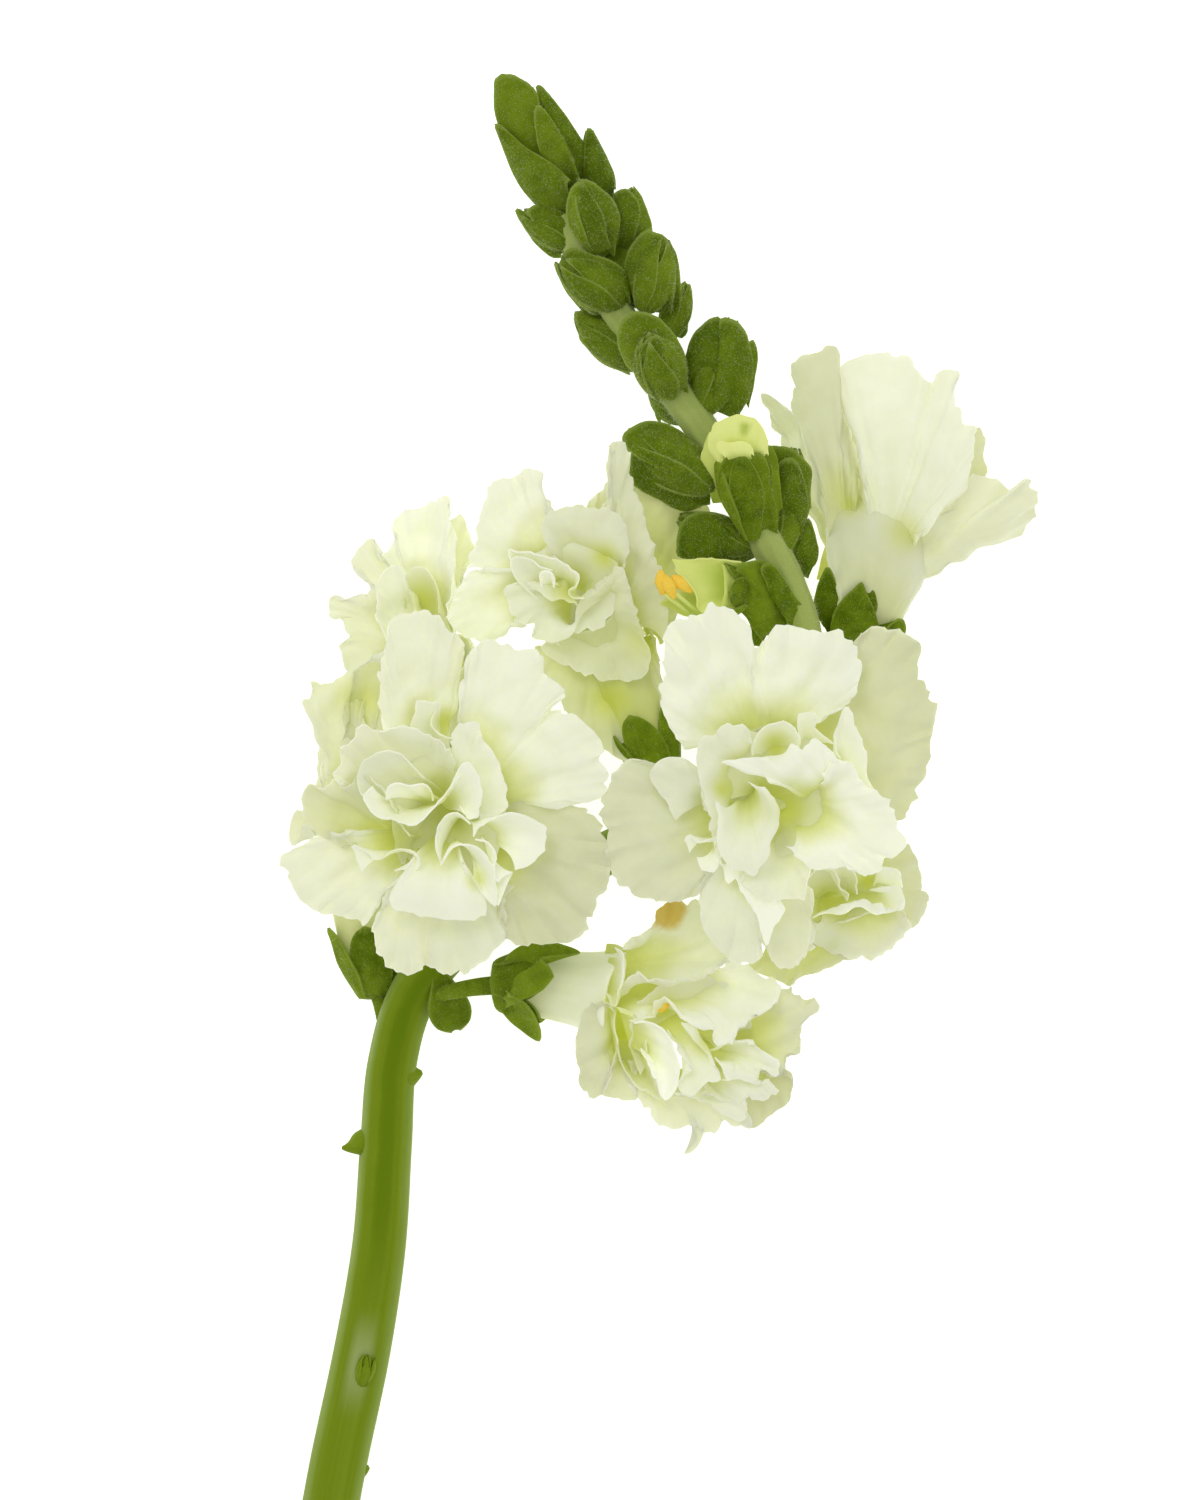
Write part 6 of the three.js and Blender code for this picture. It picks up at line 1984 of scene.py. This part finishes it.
# ------------------------------------------------------------------ buds
@dataclass(frozen=True)
class Bud:
    """A closed bud: a core, five sepals folded over one another, and a bract.

    Attributes:
        root: Its foot, in the stem.
        tip: Its point.
        wide: Its width.
        turn: Degrees round it of the side where its bract is.
        bract: Whether it has one.
        sharp: How pointed its sepals are.
    """

    root: Triple
    tip: Triple
    wide: float
    turn: float = 0.0
    bract: bool = True
    sharp: float = 0.62

    def way(self) -> Way:
        """Gives its middle line."""
        along = unit(np.subtract(self.tip, self.root))
        return bow(self.root, along, self.tip, along, AHEAD if abs(along[2]) > 0.7 else UP)

    def skin(self, shares: Array) -> Array:
        """Gives the core's radius at shares of its line."""
        return 0.35 * self.wide * hump(np.clip(shares, 0.0, 1.0) ** 0.85) ** 0.7

    def core(self, name: str) -> bpy.types.Object:
        """Makes the core."""
        shares = np.linspace(0.01, 0.985, 18)
        profile = np.stack([shares, self.skin(shares) * 0.97], axis=1)
        made = Bench.rolled(name, self.way(), fine_rings(profile, 18), 28)
        Bench.mark(made, "tone_and_shade", 0.1)
        return made

    def build(self, name: str) -> bpy.types.Object:
        """Makes the bud."""
        way, size = self.way(), self.wide / 8.0
        parts = [self.core(f"core_{name}")]
        for number, middle in enumerate(SEPAL_TURNS):
            sepal = Sepal(
                self.turn + middle, 48.0, 0.0, 0.985 - 0.02 * (number % 3), 0.22 * size, 0.12,
                0.2 * size, 0.14 * size, self.sharp, 0.3,
            )
            parts.append(sepal.build(f"sepal_{name}_{number}", way, self.skin, 0.2 + 0.17 * number))
        if self.bract:
            bract = Sepal(
                self.turn + 8.0, 50.0, -0.05, 0.93, 0.66 * size, 0.75, 0.1, 0.3 * size, 0.8, 0.36
            )
            parts.append(bract.build(f"bract_{name}", way, self.skin, 0.75))
        return Bench.join(name, parts + leaves_of(name.removeprefix("green_")))


BUDS: dict[str, Bud] = {
    "bud_01": Bud((-8.8, 80.0, 29.0), (-11.1, 89.6, 33.0), 6.6, 0, False),
    "bud_02": Bud((-11.7, 80.4, 27.0), (-19.4, 85.2, 26.0), 5.8, 250, False),
    "bud_03": Bud((-9.6, 78.4, 27.0), (-3.6, 88.6, 26.0), 5.2, 110, False),
    "bud_04": Bud((-5.2, 71.9, 29.0), (-14.1, 78.3, 30.4), 8.0, 250, False),
    "bud_05": Bud((-2.2, 70.8, 29.0), (0.7, 81.4, 30.4), 7.2, 110, False),
    "bud_06": Bud((0.8, 67.2, 26.2), (3.8, 75.4, 23.4), 5.2, 110, False),
    "bud_07": Bud((-2.6, 63.4, 27.0), (-11.8, 71.0, 24.8), 7.4, 250, False),
    "bud_08": Bud((1.4, 59.2, 28.6), (-1.6, 68.0, 36.0), 9.0, 200, False),
    "bud_09": Bud((5.8, 56.6, 27.4), (10.2, 70.4, 26.4), 9.0, 100, False),
    "bud_10": Bud((3.8, 56.0, 25.4), (-1.2, 60.2, 19.4), 5.0, 220, False),
    "bud_11": Bud((7.6, 46.4, 29.4), (-5.0, 54.2, 29.2), 9.8, 250, False),
    "bud_12": Bud((17.0, 36.6, 26.2), (19.0, 52.4, 24.0), 7.0, 90, False),
    "bud_13": Bud((13.0, 38.0, 26.6), (2.4, 42.4, 26.0), 7.0, 250, False),
}

TIP_BUDS = (
    Bud((-14.6, 86.6, 26.1), (-22.0, 104.6, 25.9), 4.5, 0, False, 0.8),
    Bud((-13.6, 88.8, 26.9), (-18.6, 103.0, 27.5), 4.0, 30, False, 0.8),
    Bud((-11.2, 89.6, 25.9), (-16.4, 102.2, 25.1), 3.7, 0, False, 0.8),
    Bud((-12.4, 86.2, 26.7), (-23.0, 97.6, 25.7), 4.5, 20, False, 0.8),
    Bud((-9.2, 86.4, 25.9), (-9.9, 97.0, 25.7), 3.4, 0, False, 0.8),
    Bud((-12.6, 86.6, 25.3), (-18.6, 99.4, 22.7), 3.8, 0, False, 0.8),
)


@dataclass(frozen=True)
class OpeningBud:
    """The bud that is opening: pale petals still folded over one another, in a calyx."""

    bud: Bud
    stalk: Triple
    reach: float  # share of the bud that the sepals cover

    def dome(self, finishes: Finishes) -> bpy.types.Object:
        """Makes the folded petals."""
        way = self.bud.way()
        parts = [self.bud.core("core_opening")]
        for number, middle in enumerate(SEPAL_TURNS):
            petal = Sepal(
                self.bud.turn + middle, 58.0, 0.1, 1.0 - 0.03 * (number % 2), 0.16, 0.1, 0.42,
                -0.1, 0.4, 0.3,
            )
            parts.append(petal.build(f"folded_{number}", way, self.bud.skin, 0.15 + 0.2 * number))
        for part in parts:
            Bench.mark(part, "green", 0.3)
        parts += [
            fold.build(f"dome_{number}", np.asarray(UP), PETAL_THICK)
            for number, fold in enumerate(OPENING_PETALS)
        ]
        made = Bench.join("opening_petals", parts)
        # painted shade: the slit between the folded petals turns a deeper green
        away = np.linalg.norm(Bench.points(made) - OPENING_SLIT, axis=1)
        Bench.mark(made, "shade_pool", 1.0 - smooth_step(away, 0.5, 1.3))
        return Bench.dress(
            made, finishes.petals[Age.YOUNG], "young_petal", "petals_opening_bud"
        )

    def calyx(self, finishes: Finishes) -> bpy.types.Object:
        """Makes the stalk and the five sepals."""
        way = self.bud.way()

        def skin(shares: Array) -> Array:
            """Gives the radius under the sepals."""
            return self.bud.skin(np.maximum(shares, 0.12)) * smooth_step(shares, -0.2, 0.14) + 0.5

        foot = way.frame(np.array([-0.12]))[0][0]
        arrive = np.subtract(self.bud.tip, self.bud.root)
        parts = [stalk("stalk_opening", self.stalk, foot, arrive, 0.9)]
        for number, turn in enumerate(SEPAL_TURNS):
            sepal = Sepal(turn, 46.0, -0.13, self.reach + 0.04 * math.sin(2.3 * number), 0.3, 0.35)
            parts.append(sepal.build(f"sepal_opening_{number}", way, skin, 0.1 + 0.2 * number))
        made = Bench.join("opening_sepals", parts + leaves_of("calyx_opening_bud"))
        return Bench.dress(made, finishes.calyx, "calyx", "calyx_opening_bud")


OPENING = OpeningBud(
    Bud((12.6, 41.4, 29.2), (10.4, 56.4, 33.4), 8.2, 36.0), (12.0, 44.0, 26.2), 0.72
)


@dataclass(frozen=True)
class Anthers:
    """The anthers of a flower, each of two lobes.

    Attributes:
        places: The middle of each, and the degrees that it is turned.
        size: Half their length, and their radius.
    """

    places: tuple[tuple[Triple, float], ...]
    size: tuple[float, float]

    def build(self, finishes: Finishes, name: str, *nodes: str) -> bpy.types.Object:
        """Makes the anthers.

        Args:
            finishes: The part's materials.
            name: Their name.
            nodes: The solid that they stand for, if there is one.

        Returns:
            The piece.
        """
        parts = []
        for number, (place, turn) in enumerate(self.places):
            along = np.array([math.cos(math.radians(turn)), math.sin(math.radians(turn)), 0.1])
            way = bow(
                tuple(np.subtract(place, self.size[0] * along)), along,
                tuple(np.add(place, self.size[0] * along)), along,
            )
            profile = ((0.0, 0.25), (0.2, 0.62), (0.55, self.size[1]), (0.85, 0.6), (1.0, 0.2))

            def cleft(_: Array, turns: Array) -> Array:
                """Gives the groove between the two lobes."""
                return -0.26 * np.exp(-((turns / 0.45) ** 2))

            sac = Bench.rolled(f"sac_{number}", way, fine_rings(profile, 14), 20, cleft)
            Bench.mark(sac, "tone_and_shade", 0.5)
            parts.append(sac)
        return Bench.dress(Bench.join(name, parts), finishes.pollen, "anther", *nodes)


ANTHERS = Anthers(
    (((0.2, 33.2, 33.4), 96), ((1.3, 32.6, 33.9), 112), ((3.1, 33, 33), 140)), (1.8, 0.95)
)
INNER_ANTHER = Anthers((((0.3, -25.8, 33.8), 70),), (1.1, 0.95))


# ------------------------------------------------------------------ the stem
STEM_LINE: tuple[tuple[Triple, float], ...] = (
    ((-47.9, -104.6, 4.2), 4.1),
    ((-45.4, -91.0, 4.7), 4.05),
    ((-42.0, -75.0, 5.8), 3.95),
    ((-39.6, -60.2, 7.2), 3.8),
    ((-38.6, -46.2, 9.2), 3.65),
    ((-37.6, -34.0, 11.6), 3.5),
    ((-34.2, -23.8, 13.8), 3.4),
    ((-26.0, -14.8, 16.0), 3.3),
    ((-14.0, -8.0, 17.6), 3.1),
    ((-1.0, -1.4, 18.6), 3.0),
    ((9.4, 6.0, 19.8), 2.9),
    ((17.4, 14.6, 21.4), 2.75),
    ((20.2, 24.2, 23.4), 2.65),
    ((17.6, 33.4, 25.8), 2.6),
    ((12.6, 43.4, 27.2), 2.4),
    ((7.0, 53.0, 27.8), 2.4),
    ((0.4, 62.2, 28.0), 2.3),
    ((-6.2, 71.4, 27.6), 2.2),
    ((-11.4, 80.4, 27.0), 2.1),
    ((-13.6, 84.6, 26.8), 1.9),
)


@dataclass(frozen=True)
class Scar:
    """A lump where a leaf was taken off: place, direction, radius and height."""

    place: Triple
    toward: Triple
    radius: float
    tall: float

    def build(self, name: str) -> bpy.types.Object:
        """Makes the lump, its root sunk in the stem."""
        aim = unit(self.toward)
        start = np.subtract(self.place, 1.6 * aim)
        end = np.add(self.place, (self.tall + 0.2) * aim)
        way = bow(tuple(start), aim, tuple(end), aim + (0.0, 0.35, 0.0), AHEAD)
        thick = self.radius
        profile = ((0.0, thick), (0.45, 0.86 * thick), (0.75, 0.45 * thick), (1.0, 0.12 * thick))
        made = Bench.rolled(name, way, fine_rings(profile, 12), 18)
        Bench.mark(made, "cut", 0.0)
        Bench.mark(made, "knob", 1.0)
        return made


@dataclass(frozen=True)
class Stem:
    """The main stem, with its scars and the tiny bud on its front.

    Attributes:
        line: Its middle line, with the radius at each point.
        scars: Its lumps.
        eye: The tiny bud.
        ribs: How many ribs it has.
    """

    line: tuple[tuple[Triple, float], ...]
    scars: tuple[Scar, ...]
    eye: tuple[Bud, ...]
    ribs: int = 9

    def way(self) -> Way:
        """Gives its middle line."""
        return Way(through([point for point, _ in self.line]))

    def radius(self, shares: Array) -> Array:
        """Gives its radius at shares of its line."""
        radii = [radius for _, radius in self.line]
        return np.interp(shares, np.linspace(0.0, 1.0, len(radii)), radii)

    def build(self, finishes: Finishes) -> bpy.types.Object:
        """Makes the stem."""
        way = self.way()
        shares = np.concatenate([np.zeros(4), np.linspace(0.0, 1.0, 241), [1.0]])
        radii = self.radius(shares)
        radii[:4] *= (0.0, 0.45, 0.8, 0.94)
        radii[-1] = 0.0

        def relief(share: Array, turns: Array) -> Array:
            """Gives the ribs and the soft lumps."""
            ribs = 0.07 * np.cos(self.ribs * turns + 1.6 * np.sin(6.0 * share))
            lumps = 0.06 * np.sin(41.0 * share + 2.0 * np.cos(turns))
            lumps *= np.cos(2.0 * turns + 9.0 * share)
            return (ribs + lumps) * smooth_step(share, 0.0, 0.01)

        shaft = Bench.rolled("shaft", way, np.stack([shares, radii], axis=1), 48, relief)
        start, aim = (rows[0] for rows in way.frame(np.zeros(1))[:2])
        away = Bench.points(shaft) - start
        inner = np.linalg.norm(away, axis=1) < 0.96 * self.line[0][1]
        Bench.mark(shaft, "cut", ((away @ aim < 0.01) & inner).astype(float))
        parts = [shaft, *(scar.build(f"scar_{i}") for i, scar in enumerate(self.scars))]
        for number, bud in enumerate(self.eye):
            parts.append(bud.build(f"eye_{number}"))
            Bench.mark(parts[-1], "knob", 1.0)
        return Bench.dress(Bench.join("main_stem", parts), finishes.stem, "stem", "stem")


STEM = Stem(
    STEM_LINE,
    (
        Scar((-42.2, -45.6, 9.4), (-1.0, -0.3, 0.1), 1.9, 2.6),
        Scar((-35.2, -35.8, 11.6), (1.0, 0.1, 0.1), 2.6, 1.5),
        Scar((-41.8, -91.8, 4.8), (1.0, 0.1, 0.1), 2.2, 0.5),
    ),
    (Bud((-42.2, -80.2, 8.6), (-41.4, -75.6, 10.4), 2.6, 90.0, True, 0.7),),
)


# ------------------------------------------------------------------ down
COVER = 2.5  # millimetres within which something over a place keeps hairs away
LEAN = 0.55  # how far hairs lean at random
FOOT_SUNK = 0.05  # millimetres that a hair's foot lies in the skin


@dataclass(frozen=True)
class Down:
    """Short hairs that stand on the skin of a piece.

    Attributes:
        dense: How many to a square millimetre.
        long: Their usual length.
        thick: Their width at the foot.
        seed: What their places are drawn from.
    """

    dense: float
    long: float
    thick: float
    seed: int

    @staticmethod
    def bare(feet: Array, aims: Array, corners: Array) -> Array:
        """Says which places on the skins have nothing close over them.

        Args:
            feet: The places.
            aims: The directions out of the skin there.
            corners: The corners of all the skins' triangles, three by three.

        Returns:
            True or False for each place.
        """
        faces = np.arange(len(corners)).reshape(-1, 3)
        tree = BVHTree.FromPolygons(corners.tolist(), faces.tolist())
        starts = feet + 0.02 * MILLIMETRE * aims
        return np.array([
            tree.ray_cast(start, aim, COVER * MILLIMETRE)[0] is None
            for start, aim in zip(starts.tolist(), aims.tolist())
        ])

    def grow(
        self, name: str, skins: Sequence[bpy.types.Object], finishes: Finishes, slot: str,
        keep: Callable[[Array], Array] | None = None,
    ) -> bpy.types.Object:
        """Makes the hairs of some pieces as one piece.

        Args:
            name: Its name.
            skins: The pieces that they stand on.
            finishes: The part's materials.
            slot: A slot name, passed on to Bench.dress.
            keep: Says of points, in metres, which of them bear hairs.

        Returns:
            The piece.
        """
        draw = np.random.default_rng(self.seed)
        feet, aims, solid = [], [], []
        for skin in skins:
            mesh = skin.data
            mesh.calc_loop_triangles()
            points = np.zeros(3 * len(mesh.vertices))
            mesh.vertices.foreach_get("co", points)
            corners = np.zeros(3 * len(mesh.loop_triangles), int)
            mesh.loop_triangles.foreach_get("vertices", corners)
            faces = points.reshape(-1, 3)[corners.reshape(-1, 3)]
            cross = np.cross(faces[:, 1] - faces[:, 0], faces[:, 2] - faces[:, 0])
            area = np.linalg.norm(cross, axis=1) / 2.0
            count = int(area.sum() / MILLIMETRE**2 * self.dense)
            chosen = draw.choice(len(area), count, p=area / area.sum())
            first, second = np.sqrt(draw.random(count)), draw.random(count)
            share = np.stack([1 - first, first * (1 - second), first * second], axis=1)
            solid.append(faces.reshape(-1, 3))
            feet.append(np.einsum("ij,ijk->ik", share, faces[chosen]))
            aims.append(cross[chosen] / (2.0 * area[chosen, None] + 1e-18))
        foot, aim = np.vstack(feet), np.vstack(aims)
        kept = self.bare(foot, aim, np.vstack(solid))
        if keep is not None:
            kept &= keep(foot)
        foot, aim = foot[kept], aim[kept]
        count = len(foot)
        aim = unit_rows(aim + LEAN * draw.normal(size=(count, 3)))
        tip = foot + aim * (self.long * MILLIMETRE * draw.uniform(0.5, 1.3, count))[:, None]
        side = unit_rows(np.cross(aim, draw.normal(size=(count, 3))))
        side = side * self.thick * MILLIMETRE / 2.0
        other = np.cross(aim, side)
        sunk = foot - FOOT_SUNK * MILLIMETRE * aim
        corners = np.stack([
            sunk + side, sunk - 0.5 * side + 0.87 * other, sunk - 0.5 * side - 0.87 * other, tip,
        ], axis=1).reshape(-1, 3)
        pattern = np.array([[0, 2, 1], [0, 1, 3], [1, 2, 3], [2, 0, 3]])
        faces = (pattern[None] + 4 * np.arange(count)[:, None, None]).reshape(-1, 3)
        mesh = bpy.data.meshes.new(name)
        mesh.from_pydata(corners.tolist(), [], faces.tolist())
        piece = bpy.data.objects.new(name, mesh)
        bpy.context.scene.collection.objects.link(piece)
        return Bench.dress(piece, finishes.down, slot)


BUD_DOWN = Down(dense=12.0, long=0.36, thick=0.032, seed=3)
CALYX_DOWN = Down(dense=4.5, long=0.34, thick=0.032, seed=5)
STEM_DOWN = Down(dense=9, long=0.6, thick=0.026, seed=7)
DOWNY_FROM = 0.012  # metres along the part past which its stem is downy


# ------------------------------------------------------------------ studio
SENSOR = 24.0  # height of the camera's sensor in millimetres


@dataclass(frozen=True)
class Studio:
    """The table, the soft lamps and the camera over the stem, in metres.

    Attributes:
        middle: The place on the part that the camera is over.
        tall: Height of the field that the camera sees.
        away: Distance of the camera.
        lamps: Place, width and power of each soft lamp.
        sky: Strength of the light from all round.
    """

    middle: Triple
    tall: float
    away: float
    lamps: tuple[tuple[Triple, float, float], ...]
    sky: float

    def table(self) -> bpy.types.Object:
        """Makes the table."""
        bpy.ops.object.select_all(action="DESELECT")
        bpy.ops.mesh.primitive_grid_add(x_subdivisions=8, y_subdivisions=8, size=3.0)
        made = bpy.context.active_object
        made.name = made.data.name = "table"
        made.data.materials.append(TableFinish("table_white").mix())
        return made

    def light(self) -> None:
        """Sets the lamps and the light from all round."""
        for place, width, power in self.lamps:
            bpy.ops.object.light_add(type="AREA", location=place)
            lamp = bpy.context.active_object
            lamp.data.shape = "SQUARE"
            lamp.data.size = width
            lamp.data.energy = power
            aim = Vector(self.middle) - Vector(place)
            lamp.rotation_euler = aim.to_track_quat("-Z", "Y").to_euler()
        world = bpy.data.worlds.new("soft_sky")
        world.use_nodes = True
        world.node_tree.nodes["Background"].inputs["Color"].default_value = shade(252, 253, 255)
        world.node_tree.nodes["Background"].inputs["Strength"].default_value = self.sky
        bpy.context.scene.world = world

    def camera(self) -> None:
        """Hangs the camera straight over the stem."""
        x, y, z = self.middle
        bpy.ops.object.camera_add(location=(x, y, z + self.away), rotation=(0.0, 0.0, 0.0))
        camera = bpy.context.active_object
        camera.data.sensor_fit = "VERTICAL"
        camera.data.sensor_height = SENSOR
        camera.data.lens = SENSOR * self.away / self.tall
        bpy.context.scene.camera = camera

    def build(self) -> None:
        """Makes the whole studio."""
        self.table()
        self.light()
        self.camera()
        bpy.context.scene.view_settings.view_transform = "Standard"


STUDIO = Studio(
    middle=(-0.0069, 0.0100, 0.028), tall=0.210, away=2.0,
    lamps=(((-0.45, 0.65, 1.15), 0.8, 4.35), ((0.7, -0.3, 1.1), 0.9, 1.95)),
    sky=0.6,
)


# ------------------------------------------------------------------ the whole part
def main() -> None:
    """Builds the pieces in order, and logs the number of faces of each dressed piece."""
    logging.basicConfig(level=logging.INFO, format="%(message)s")
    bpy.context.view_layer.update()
    STUDIO.build()
    finishes = Finishes.mixed()
    stem = STEM.build(finishes)
    greens = [flower.calyx(finishes) for flower in FLOWERS] + [OPENING.calyx(finishes)]
    for flower in FLOWERS:
        flower.corolla(finishes)
    OPENING.dome(finishes)
    ANTHERS.build(finishes, "pollen_sacs", "anthers")
    INNER_ANTHER.build(finishes, "inner_pollen_sac")
    buds = [
        Bench.dress(bud.build(f"green_{name}"), finishes.bud, "bud", name)
        for name, bud in BUDS.items()
    ]
    tips = [bud.build(f"tip_{i}") for i, bud in enumerate(TIP_BUDS)]
    tip = Bench.join("spike_tip", tips + leaves_of("tip_buds"))
    buds.append(Bench.dress(tip, finishes.bud, "bud", "tip_buds"))
    BUD_DOWN.grow("bud_down", buds, finishes, "bud")
    CALYX_DOWN.grow("calyx_down", greens, finishes, "calyx")
    STEM_DOWN.grow(
        "stem_down", [stem], finishes, "stem", lambda points: points[:, 1] > DOWNY_FROM
    )


if __name__ == "__main__":
    main()
